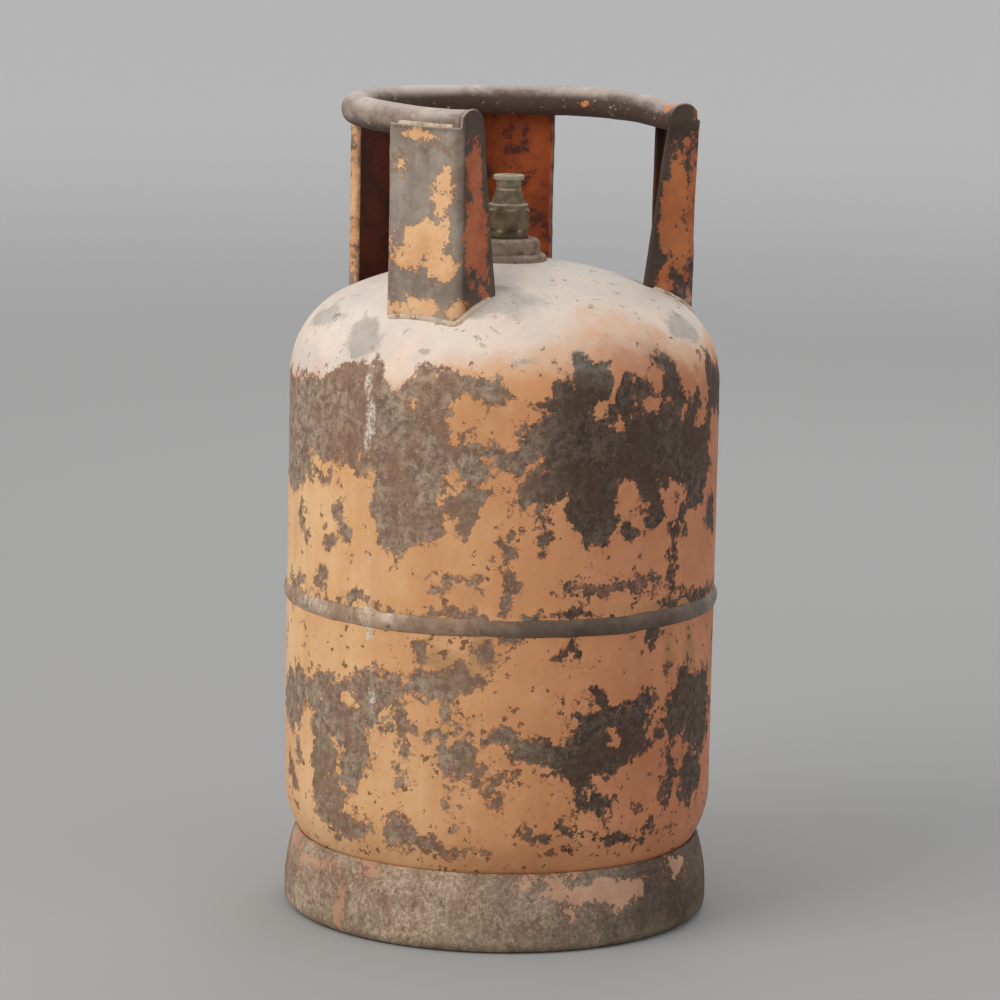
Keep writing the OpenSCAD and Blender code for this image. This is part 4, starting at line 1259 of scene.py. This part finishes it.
def make_nicks():
    """Short scratches: a Voronoi pattern turned by Turn and read at a quarter of the place
    along one side, so its dots are long and thin. Few cells draw one."""
    group, take, give = new_group("nicks", [("Vector", "Vector", 0), ("Scale", "Float", 60.0),
                                            ("Turn", "Float", 0.0), ("Amount", "Float", 0.3)], ["Mask"])
    bend = add(group, "TexNoise", {"Vector": take["Vector"], "Scale": 60.0, "Detail": 2.0})
    bend = bend.outputs["Color"]
    swayed = add(group, "VectorMath", {0: bend, 1: (0.012, 0.012, 0.0), 2: take["Vector"]},
                 operation="MULTIPLY_ADD").outputs[0]
    turned_place = add(group, "VectorRotate", {"Vector": swayed, "Angle": take["Turn"]},
                       rotation_type="Z_AXIS").outputs[0]
    thin = add(group, "VectorMath", {0: turned_place, 1: (0.25, 1.0, 0.4)}, operation="MULTIPLY").outputs[0]
    cell = add(group, "TexVoronoi", {"Vector": thin, "Scale": take["Scale"]})
    drawn = add(group, "SeparateColor", {0: cell.outputs["Color"]}).outputs[0]
    width = ramp(group, drawn, maths(group, "SUBTRACT", 1.0, take["Amount"]), 1.0, 0.04, 0.16)
    gap = maths(group, "SUBTRACT", width, cell.outputs["Distance"])
    group.links.new(ramp(group, gap, 0.0, 0.06), give["Mask"])
    return group


def make_dust():
    """Settled dust: more where the surface faces up, broken by cloudy noise."""
    group, take, give = new_group("settled_dust", [("Vector", "Vector", 0), ("Scale", "Float", 30.0),
                                                   ("Up", "Float", 0.0), ("Amount", "Float", 0.7)], ["Mask"])
    cloud = ramp(group, noise(group, take["Vector"], take["Scale"], 6.0, 0.7), 0.3, 0.62)
    facing = ramp(group, take["Up"], 0.15, 0.95)
    mask = times(group, times(group, facing, cloud), take["Amount"])
    group.links.new(mask, give["Mask"])
    return group


def make_grit():
    """Height of a rusted skin: lumps, fine grain and small pits."""
    group, take, give = new_group("rust_grit", [("Vector", "Vector", 0), ("Scale", "Float", 200.0)],
                                  ["Height"])
    lumps = noise(group, take["Vector"], take["Scale"], 6.0, 0.7)
    grain = noise(group, take["Vector"], times(group, take["Scale"], 4.0), 3.0)
    pit_scale = times(group, take["Scale"], 1.6)
    pit = add(group, "TexVoronoi", {"Vector": take["Vector"], "Scale": pit_scale})
    pits = ramp(group, pit.outputs["Distance"], 0.0, 0.25, -0.5, 0.0)
    height = plus(group, plus(group, lumps, pits), times(group, grain, 0.4))
    group.links.new(height, give["Height"])
    return group


GROUPS = {group.name: group for group in (make_ragged_edge(), make_streaks(), make_chips(),
                                          make_nicks(), make_dust(), make_grit())}
print("groups:", sorted(GROUPS))

# %% [markdown]
# A finish starts from a new material, the place on the object, and how far each
# point faces up.

# %% Starting and closing a finish
def use(tree, name, sockets):
    """A node with the shared group of this name; returns its outputs."""
    new = tree.nodes.new("ShaderNodeGroup")
    new.node_tree = GROUPS[name]
    feed(tree, new.inputs, sockets)
    return new.outputs


def streaks(tree, place, scale, stretch):
    return use(tree, "streaks", {"Vector": place, "Scale": scale, "Stretch": stretch})["Value"]


def chips(tree, place, scale, amount):
    return use(tree, "chips", {"Vector": place, "Scale": scale, "Amount": amount})["Mask"]


def settled_dust(tree, place, scale, up, amount):
    return use(tree, "settled_dust", {"Vector": place, "Scale": scale, "Up": up,
                                      "Amount": amount})["Mask"]


def rust_grit(tree, place, scale):
    return use(tree, "rust_grit", {"Vector": place, "Scale": scale})["Height"]


def ragged(tree, name, place, scale, raggedness, softness, rim=0.06):
    """Outputs of the ragged edge, Bare and Border, for the field stored under name."""
    return use(tree, "ragged_edge", {"Field": stored(tree, name), "Vector": place, "Scale": scale,
                                     "Raggedness": raggedness, "Softness": softness, "Rim": rim})


def start_finish(name):
    """A new material with its node tree, the place on the object, and how far up it faces."""
    material = bpy.data.materials.new(name)
    material.use_nodes = True
    tree = material.node_tree
    place = add(tree, "TexCoord", {}).outputs["Object"]
    normal = add(tree, "NewGeometry", {}).outputs["Normal"]
    up = add(tree, "SeparateXYZ", {0: normal}).outputs["Z"]
    return material, tree, place, up


def close_finish(tree, colour, rough, height, bump=0.5, depth=0.001, metallic=0.0, specular=0.35):
    """Feeds the shader. Height goes through a bump, depth in metres."""
    shader = tree.nodes["Principled BSDF"]
    shader.inputs["Specular IOR Level"].default_value = specular
    relief = add(tree, "Bump", {"Strength": bump, "Distance": depth, "Height": height})
    feed(tree, shader.inputs, {"Base Color": colour, "Roughness": rough, "Metallic": metallic,
                               "Normal": relief.outputs["Normal"]})


print("ready to mix", len(GROUPS), "shared effects into finishes")

# %% [markdown]
# ## Weathered paint of the shells
# The orange was once even. Sun has bleached it in clouds, rain has drawn streaks, and
# the shoulder has gone chalky with peach left between. Painted light makes it paler
# and yellower on the lit left, and painted shade pinker to the right. Rust is built in
# layers: a red brown stain, then bare metal in taupe that painted shade darkens to the
# right, with streaks and pale specks.

# %% Weathered paint
def bare_metal(tree, place, shade):
    """Colour of rusted steel: taupe that painted shade darkens to dark brown on the right, mottled, faintly
    streaked and speckled.
    """
    # Painted shade: dim mixes each colour from its lit tone to its shaded tone.
    dim = ramp(tree, shade, 0.0, 0.5)
    mottle = ramp(tree, noise(tree, place, 170.0, 8.0, 0.8), 0.4, 0.6)
    colour = mixed(tree, mottle, mixed(tree, dim, tone(190, 166, 143), tone(110, 92, 77)),
                   mixed(tree, dim, tone(124, 101, 84), tone(66, 52, 44)))
    crack = ramp(tree, noise(tree, place, 95.0, 8.0, 0.82, 0.6), 0.36, 0.44, 0.55, 0.0)
    colour = mixed(tree, crack, colour, mixed(tree, dim, tone(92, 72, 58), tone(48, 38, 32)))
    streak = streaks(tree, place, 170.0, 7.0)
    colour = mixed(tree, times(tree, streak, 0.3), colour,
                   mixed(tree, dim, tone(122, 104, 90), tone(58, 47, 41)))
    brown = ramp(tree, noise(tree, place, 26.0, 7.0, 0.72), 0.42, 0.6, 0.0, 0.65)
    colour = mixed(tree, brown, colour, mixed(tree, dim, tone(140, 102, 80), tone(80, 56, 44)))
    olive = ramp(tree, noise(tree, place, 24.0, 7.0, 0.72), 0.55, 0.68, 0.0, 0.45)
    colour = mixed(tree, olive, colour, mixed(tree, dim, tone(136, 126, 100), tone(72, 64, 50)))
    speck = chips(tree, place, 420.0, 0.28)
    return mixed(tree, times(tree, speck, 0.42), colour,
                 mixed(tree, dim, tone(204, 184, 162), tone(132, 114, 100)))


def old_orange(tree, place, shade, painted_lit_side):
    """Paint: two oranges in clouds, bleached spots, rain streaks, painted light that makes it
    paler and yellower on the lit left, and painted shade that makes it pinker and darker."""
    cloud = ramp(tree, noise(tree, place, 11.0, 7.0, 0.66), 0.35, 0.65)
    # Painted light: the lit left takes the paler, yellower pair of oranges.
    colour = mixed(tree, cloud, mixed(tree, painted_lit_side, tone(226, 164, 112), tone(246, 202, 150)),
                   mixed(tree, painted_lit_side, tone(208, 144, 94), tone(232, 178, 124)))
    bleached = ramp(tree, noise(tree, place, 40.0, 7.0, 0.7), 0.52, 0.7, 0.0, 0.5)
    colour = mixed(tree, bleached, colour, tone(238, 188, 146))
    rain = streaks(tree, place, 70.0, 14.0)
    colour = mixed(tree, times(tree, rain, 0.2), colour, tone(196, 122, 78))
    # Painted shade: round the right side the paint turns a darker pink.
    pink = mixed(tree, cloud, tone(196, 126, 90), tone(176, 104, 72))
    return mixed(tree, times(tree, shade, 0.75), colour, pink)


def make_weathered_paint():
    """Layers from below: paint, bleaching, stains, bar, chips and nicks, rust, white, dust."""
    material, tree, place, up = start_finish("weathered_orange")
    shade, low = stored(tree, "shade"), stored(tree, "low")
    colour = old_orange(tree, place, shade, stored(tree, "painted_lit_side"))
    cloud = ramp(tree, noise(tree, place, 26.0, 7.0, 0.72), 0.38, 0.62)
    haze = maths(tree, "SUBTRACT", noise(tree, place, 34.0, 8.0, 0.72), 0.5)
    faded = plus(tree, stored(tree, "chalk"), times(tree, haze, 0.9))
    colour = mixed(tree, ramp(tree, faded, 0.05, 0.5), colour, tone(226, 178, 140))
    peach = times(tree, stored(tree, "peach"), 0.55)
    dusty = maths(tree, "SUBTRACT", ramp(tree, faded, 0.35, 0.85), peach, clamp=True)
    colour = mixed(tree, dusty, colour, mixed(tree, cloud, tone(244, 226, 210), tone(222, 210, 202)))
    ash = ragged(tree, "ash", place, 120.0, 0.5, 0.1)["Bare"]
    colour = mixed(tree, times(tree, ash, 0.7), colour, tone(148, 142, 134))
    moss = ragged(tree, "moss", place, 90.0, 0.6, 0.25)["Bare"]
    colour = mixed(tree, times(tree, moss, 0.4), colour, tone(120, 104, 66))
    bar = ragged(tree, "bar", place, 95.0, 1.5, 0.03)["Bare"]
    faint = ramp(tree, noise(tree, place, 120.0, 7.0, 0.75), 0.38, 0.6, 0.95, 0.6)
    colour = mixed(tree, times(tree, bar, faint), colour, tone(56, 52, 54))
    many = plus(tree, times(tree, low, 0.3), 0.13)
    small = chips(tree, place, 200.0, many)
    large = chips(tree, place, 80.0, times(tree, many, 0.85))
    chip = maths(tree, "MAXIMUM", small, large)
    colour = mixed(tree, times(tree, chip, 0.88), colour,
                   mixed(tree, shade, tone(124, 84, 62), tone(92, 60, 46)))
    scratch = 0.0
    for turn, scale in ((0.3, 120.0), (1.4, 105.0), (2.5, 130.0)):
        nick = use(tree, "nicks", {"Vector": place, "Scale": scale, "Turn": turn, "Amount": 0.6})
        scratch = maths(tree, "MAXIMUM", scratch, nick["Mask"])
    scratch = times(tree, scratch, ramp(tree, stored(tree, "chalk"), 0.45, 0.7))
    colour = mixed(tree, times(tree, scratch, 0.55), colour, tone(132, 116, 105))
    edge = ragged(tree, "rust", place, 75.0, 1.0, 0.014, rim=0.035)
    stain = times(tree, edge["Border"], 0.7)
    colour = mixed(tree, stain, colour, mixed(tree, shade, tone(158, 100, 62), tone(112, 62, 40)))
    colour = mixed(tree, edge["Bare"], colour, bare_metal(tree, place, shade))
    white = ragged(tree, "white", place, 170.0, 1.5, 0.14)["Bare"]
    flaky = ramp(tree, noise(tree, place, 260.0, 7.0, 0.78), 0.44, 0.56, 0.12, 0.85)
    white = times(tree, white, flaky)
    colour = mixed(tree, white, colour, tone(236, 222, 206))
    dust = settled_dust(tree, place, 40.0, up, 0.55)
    colour = mixed(tree, dust, colour, tone(222, 214, 202))
    grit = rust_grit(tree, place, 190.0)
    bare_height = times(tree, times(tree, grit, edge["Bare"]), 0.55)
    film = maths(tree, "SUBTRACT", 1.0, maths(tree, "MAXIMUM", edge["Bare"], chip))
    peel = times(tree, noise(tree, place, 300.0, 3.0), 0.12)
    height = plus(tree, plus(tree, bare_height, times(tree, film, 0.6)), peel)
    height = plus(tree, height, times(tree, white, 0.5))
    height = maths(tree, "SUBTRACT", height, times(tree, scratch, 0.8))
    rough = ramp(tree, edge["Bare"], 0.0, 1.0, 0.58, 0.78)
    close_finish(tree, colour, rough, height, 0.7, 0.0006)
    return material


FINISHES = {"orange_paint": make_weathered_paint()}
for shell in (upper, lower):
    shell.data.materials.append(FINISHES["orange_paint"])
print("nodes in the paint:", len(FINISHES["orange_paint"].node_tree.nodes))

# %% [markdown]
# ## Bare and dirty steel
# The seam, foot ring, posts, tube and welds share the groups above, and differ in
# how much paint, dust and dirt they keep.

# %% Seam and welds
def make_seam_steel():
    """Brown-grey steel under painted shade that darkens it to the right, with rust clouds, specks and pale
    crust.
    """
    material, tree, place, _ = start_finish("seam_steel")
    shade = stored(tree, "shade")
    cloud = ramp(tree, noise(tree, place, 24.0, 6.0, 0.65), 0.35, 0.65)
    dim = ramp(tree, shade, 0.0, 0.3)
    colour = mixed(tree, cloud, mixed(tree, dim, tone(188, 160, 134), tone(118, 100, 86)),
                   mixed(tree, dim, tone(136, 110, 90), tone(82, 67, 57)))
    rusty = ramp(tree, noise(tree, place, 60.0, 7.0, 0.72), 0.5, 0.64, 0.0, 0.6)
    colour = mixed(tree, rusty, colour, mixed(tree, dim, tone(132, 92, 68), tone(92, 64, 50)))
    speck = chips(tree, place, 260.0, 0.3)
    colour = mixed(tree, times(tree, speck, 0.6), colour, tone(86, 64, 52))
    crust = ragged(tree, "crust", place, 140.0, 1.2, 0.1)["Bare"]
    flaky = ramp(tree, noise(tree, place, 230.0, 7.0, 0.78), 0.44, 0.58, 0.15, 0.85)
    colour = mixed(tree, times(tree, crust, flaky), colour, tone(214, 196, 176))
    rough = ramp(tree, maths(tree, "SUBTRACT", cloud, shade), -1.0, 1.0, 0.34, 0.7)
    grit = rust_grit(tree, place, 150.0)
    close_finish(tree, colour, rough, grit, 0.35, 0.0005)
    return material


def make_weld_rust(name, light, dark, dusty):
    """Two shades in clouds, rust between, and dust that also lies in patches."""
    material, tree, place, up = start_finish(name)
    cloud = ramp(tree, noise(tree, place, 70.0, 6.0, 0.7), 0.38, 0.62)
    colour = mixed(tree, cloud, light, dark)
    rusty = ramp(tree, noise(tree, place, 130.0, 6.0, 0.7), 0.5, 0.66, 0.0, 0.75)
    colour = mixed(tree, rusty, colour, tone(134, 80, 50))
    dust = settled_dust(tree, place, 90.0, up, 0.6)
    film = ramp(tree, noise(tree, place, 110.0, 7.0, 0.74), 0.4, 0.52, 0.0, dusty)
    dust = maths(tree, "MAXIMUM", dust, film)
    colour = mixed(tree, dust, colour, tone(214, 194, 174))
    grit = rust_grit(tree, place, 260.0)
    close_finish(tree, colour, ramp(tree, cloud, 0.0, 1.0, 0.85, 0.7), grit, 0.6, 0.0006)
    return material


FINISHES["seam"] = make_seam_steel()
FINISHES["weld_rust"] = make_weld_rust("rusted_weld", tone(126, 106, 90), tone(88, 66, 52), 0.25)
FINISHES["dusty_weld"] = make_weld_rust("dusty_weld", tone(188, 164, 142), tone(146, 120, 100), 0.9)
seam.data.materials.append(FINISHES["seam"])
for piece, finish in ((boss, "weld_rust"), (boss_weld, "weld_rust"), (foot_beads, "dusty_weld"),
                      (tube_beads, "dusty_weld"), (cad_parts["foot_ring_welds"], "weld_rust")):
    piece.data.materials.clear()
    piece.data.materials.append(FINISHES[finish])
print("welds done")

# %% [markdown]
# The foot ring stands in wet grass: sandy grime with a green tinge near the floor,
# pale and dark specks, and salmon paint where it was sheltered.

# %% Foot ring finish
def make_foot_grime():
    """Sandy grime over rust, greener near the floor, with islands of salmon paint; painted shade darkens it
    to the right.
    """
    material, tree, place, _ = start_finish("foot_grime")
    shade, low = stored(tree, "shade"), stored(tree, "low")
    cloud = ramp(tree, noise(tree, place, 20.0, 7.0, 0.68), 0.35, 0.65)
    # Painted shade: each grime tone goes from its lit colour to a darker one round the right side.
    light = mixed(tree, shade, tone(214, 188, 162), tone(126, 110, 95))
    dark = mixed(tree, shade, tone(176, 152, 128), tone(92, 78, 67))
    colour = mixed(tree, cloud, light, dark)
    stained = ramp(tree, noise(tree, place, 42.0, 7.0, 0.74), 0.45, 0.6, 0.0, 0.5)
    colour = mixed(tree, stained, colour, mixed(tree, shade, tone(134, 104, 80), tone(78, 60, 50)))
    sandy = ramp(tree, noise(tree, place, 330.0, 7.0, 0.84), 0.42, 0.58)
    colour = mixed(tree, times(tree, sandy, 0.66), colour,
                   mixed(tree, shade, tone(112, 90, 72), tone(60, 48, 41)))
    green = times(tree, low, ramp(tree, noise(tree, place, 48.0), 0.4, 0.62, 0.0, 0.5))
    colour = mixed(tree, green, colour, tone(126, 118, 90))
    rusty = ramp(tree, noise(tree, place, 55.0, 7.0, 0.72), 0.53, 0.66, 0.0, 0.6)
    colour = mixed(tree, rusty, colour, tone(120, 84, 60))
    edge = ragged(tree, "paint", place, 80.0, 1.3, 0.03, rim=0.05)
    colour = mixed(tree, times(tree, edge["Border"], 0.3), colour, tone(126, 84, 62))
    salmon = mixed(tree, cloud, tone(214, 172, 142), tone(192, 144, 116))
    colour = mixed(tree, times(tree, edge["Bare"], 0.88), colour, salmon)
    pale = chips(tree, place, 300.0, 0.4)
    colour = mixed(tree, times(tree, pale, 0.45), colour,
                   mixed(tree, shade, tone(214, 196, 172), tone(128, 112, 98)))
    dark_spot = chips(tree, place, 170.0, 0.3)
    colour = mixed(tree, times(tree, dark_spot, 0.55), colour, tone(88, 66, 52))
    grit = rust_grit(tree, place, 170.0)
    height = plus(tree, grit, times(tree, edge["Bare"], 0.4))
    close_finish(tree, colour, ramp(tree, cloud, 0.0, 1.0, 0.72, 0.85), height, 0.6, 0.0006)
    return material


FINISHES["foot_grime"] = make_foot_grime()
foot.data.materials.append(FINISHES["foot_grime"])
print("foot ring done")

# %% [markdown]
# The posts were orange too. Outside they have weathered to grey with scalloped
# patches of light orange; inside, out of the sun, the rust is deep red. Painted shade
# darkens both sides by a share set for each post.

# %% Guard finish
def make_guard_paint():
    """Grey weathered steel outside with patches of orange, and deep red rust inside, both darkened by
    painted shade.
    """
    material, tree, place, up = start_finish("guard_paint")
    inner, rim, low = stored(tree, "inner"), stored(tree, "rim"), stored(tree, "low")
    dim = stored(tree, "dim")
    cloud = ramp(tree, noise(tree, place, 30.0, 7.0, 0.68), 0.36, 0.64)
    colour = mixed(tree, cloud, mixed(tree, dim, tone(172, 158, 146), tone(92, 77, 68)),
                   mixed(tree, dim, tone(136, 121, 108), tone(66, 53, 46)))
    streak = streaks(tree, place, 130.0, 7.0)
    colour = mixed(tree, times(tree, streak, 0.3), colour,
                   mixed(tree, dim, tone(112, 94, 80), tone(60, 48, 41)))
    rusty = ramp(tree, noise(tree, place, 62.0, 7.0, 0.74), 0.5, 0.64, 0.0, 0.6)
    colour = mixed(tree, rusty, colour, mixed(tree, dim, tone(126, 90, 66), tone(88, 56, 40)))
    deep = mixed(tree, cloud, tone(178, 88, 44), tone(132, 60, 32))
    dark_patch = ramp(tree, noise(tree, place, 60.0, 7.0, 0.72), 0.55, 0.6, 0.0, 0.8)
    deep = mixed(tree, dark_patch, deep, tone(70, 46, 38))
    # Painted shade: the inner faces go towards near black by each post's stored share.
    deep = mixed(tree, stored(tree, "dark"), deep, mixed(tree, cloud, tone(84, 38, 26), tone(44, 30, 26)))
    red = ragged(tree, "red", place, 90.0, 1.1, 0.04)["Bare"]
    colour = mixed(tree, times(tree, red, 0.9), colour,
                   mixed(tree, cloud, tone(196, 112, 74), tone(162, 84, 56)))
    edge = ragged(tree, "paint", place, 95.0, 1.2, 0.02, rim=0.05)
    colour = mixed(tree, times(tree, edge["Border"], 0.5), colour, tone(140, 90, 60))
    orange = mixed(tree, cloud, mixed(tree, dim, tone(240, 192, 144), tone(192, 116, 66)),
                   mixed(tree, dim, tone(222, 164, 114), tone(172, 98, 54)))
    spots = chips(tree, place, 170.0, 0.28)
    orange = mixed(tree, times(tree, spots, 0.8), orange, tone(132, 110, 94))
    colour = mixed(tree, edge["Bare"], colour, orange)
    worn = times(tree, rim, ramp(tree, noise(tree, place, 120.0), 0.35, 0.55, 0.3, 0.9))
    colour = mixed(tree, times(tree, worn, 0.7), colour, tone(86, 72, 62))
    foot_dust = ramp(tree, noise(tree, place, 90.0, 7.0, 0.72), 0.4, 0.62, 0.0, 0.55)
    colour = mixed(tree, times(tree, low, foot_dust), colour, tone(200, 176, 150))
    colour = mixed(tree, inner, colour, deep)
    dust = settled_dust(tree, place, 60.0, up, 0.8)
    colour = mixed(tree, dust, colour, tone(206, 190, 174))
    grit = rust_grit(tree, place, 190.0)
    paint = times(tree, edge["Bare"], maths(tree, "SUBTRACT", 1.0, inner))
    height = plus(tree, times(tree, grit, ramp(tree, paint, 0.0, 1.0, 0.9, 0.25)),
                   times(tree, paint, 0.8))
    close_finish(tree, colour, ramp(tree, paint, 0.0, 1.0, 0.8, 0.6), height, 0.65, 0.0006)
    return material


FINISHES["guard_paint"] = make_guard_paint()
for post in posts.values():
    post.data.materials.append(FINISHES["guard_paint"])
print("posts done")

# %% [markdown]
# Dust and a painted highlight lie on top of the tube, and painted shade below it. The
# valve has a dull olive film with pale dust on its ledges and bright worn brass
# showing in places.

# %% Handle and valve finishes
def make_handle_steel():
    """Grey-brown tube with painted shade below and on its inner side, pale dust and a painted highlight on
    top, and flecks of orange.
    """
    material, tree, place, up = start_finish("handle_steel")
    under = stored(tree, "under")
    cloud = ramp(tree, noise(tree, place, 36.0, 7.0, 0.7), 0.36, 0.64)
    colour = mixed(tree, cloud, tone(160, 142, 130), tone(118, 99, 87))
    rusty = ramp(tree, noise(tree, place, 95.0, 7.0, 0.72), 0.5, 0.66, 0.0, 0.6)
    colour = mixed(tree, rusty, colour, tone(112, 72, 52))
    # Painted shade under the tube and on its inner side.
    colour = mixed(tree, times(tree, under, 0.88), colour, tone(68, 50, 41))
    dust = settled_dust(tree, place, 34.0, up, 0.95)
    # Dust and painted highlight: the top of the tube is paler by how far it faces up.
    dust = maths(tree, "MAXIMUM", dust, ramp(tree, up, 0.55, 0.9, 0.0, 0.6))
    colour = mixed(tree, dust, colour, tone(206, 192, 184))
    fleck = chips(tree, place, 330.0, 0.3)
    colour = mixed(tree, times(tree, fleck, 0.75), colour,
                   mixed(tree, cloud, tone(222, 206, 186), tone(92, 64, 50)))
    edge = ragged(tree, "paint", place, 150.0, 0.8, 0.06)["Bare"]
    colour = mixed(tree, times(tree, edge, 0.9), colour, tone(214, 138, 84))
    grit = rust_grit(tree, place, 210.0)
    close_finish(tree, colour, ramp(tree, cloud, 0.0, 1.0, 0.8, 0.65), grit, 0.55, 0.0006)
    return material


def make_valve_brass():
    """Olive film over brass, dusty on top, with some worn places that shine."""
    material, tree, place, up = start_finish("valve_brass")
    cloud = ramp(tree, noise(tree, place, 110.0, 6.0, 0.7), 0.36, 0.64)
    colour = mixed(tree, cloud, tone(120, 104, 76), tone(80, 68, 50))
    spot = chips(tree, place, 380.0, 0.3)
    colour = mixed(tree, times(tree, spot, 0.6), colour, tone(70, 62, 46))
    dust = settled_dust(tree, place, 120.0, up, 0.8)
    colour = mixed(tree, dust, colour, tone(206, 188, 160))
    patchy = ramp(tree, noise(tree, place, 150.0, 7.0), 0.35, 0.6, 0.3, 0.8)
    pale = times(tree, stored(tree, "pale"), patchy)
    colour = mixed(tree, pale, colour, tone(186, 176, 148))
    worn = ramp(tree, noise(tree, place, 60.0), 0.6, 0.72, 0.0, 0.5)
    metallic = times(tree, worn, maths(tree, "SUBTRACT", 1.0, dust))
    grit = rust_grit(tree, place, 420.0)
    close_finish(tree, colour, ramp(tree, worn, 0.0, 0.5, 0.62, 0.4), grit, 0.45, 0.0003, metallic)
    return material


FINISHES["handle_steel"] = make_handle_steel()
FINISHES["valve_brass"] = make_valve_brass()
handle.data.materials.append(FINISHES["handle_steel"])
valve.data.materials.append(FINISHES["valve_brass"])
print("handle and valve done")

# %% [markdown]
# Down in the valve's mouth the rubber rings, the poppet and the retainer keep the
# model's own meshes, which are true to shape. They and the spring only need
# finishes: dusty rubber, and dull plated steel with a little tarnish.

# %% Finishes of the inner parts
def make_rubber():
    """Black rubber with a little dust."""
    material, tree, place, up = start_finish("valve_rubber")
    cloud = ramp(tree, noise(tree, place, 500.0, 5.0, 0.6), 0.4, 0.6)
    colour = mixed(tree, cloud, tone(44, 42, 40), tone(30, 29, 28))
    dust = settled_dust(tree, place, 260.0, up, 0.5)
    colour = mixed(tree, dust, colour, tone(120, 112, 100))
    close_finish(tree, colour, ramp(tree, cloud, 0.0, 1.0, 0.7, 0.85), cloud, 0.2, 0.0001)
    return material


def make_inner_steel():
    """Dull plated steel, cloudy, with a little dust."""
    material, tree, place, up = start_finish("valve_steel")
    cloud = ramp(tree, noise(tree, place, 420.0, 5.0, 0.6), 0.38, 0.62)
    colour = mixed(tree, cloud, tone(156, 152, 144), tone(122, 116, 106))
    dust = settled_dust(tree, place, 260.0, up, 0.4)
    colour = mixed(tree, dust, colour, tone(190, 178, 158))
    metallic = maths(tree, "SUBTRACT", 0.85, dust, clamp=True)
    close_finish(tree, colour, ramp(tree, cloud, 0.0, 1.0, 0.38, 0.55), cloud, 0.15, 0.0001, metallic)
    return material


FINISHES["valve_rubber"] = make_rubber()
FINISHES["valve_steel"] = make_inner_steel()
for node, finish in (("mouth_seal", "valve_rubber"), ("poppet_seal", "valve_rubber"),
                     ("poppet", "valve_steel"), ("spring_retainer", "valve_steel")):
    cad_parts[node].data.materials.clear()
    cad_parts[node].data.materials.append(FINISHES[finish])
spring.data.materials.append(FINISHES["valve_steel"])
print("finishes:", sorted(FINISHES))
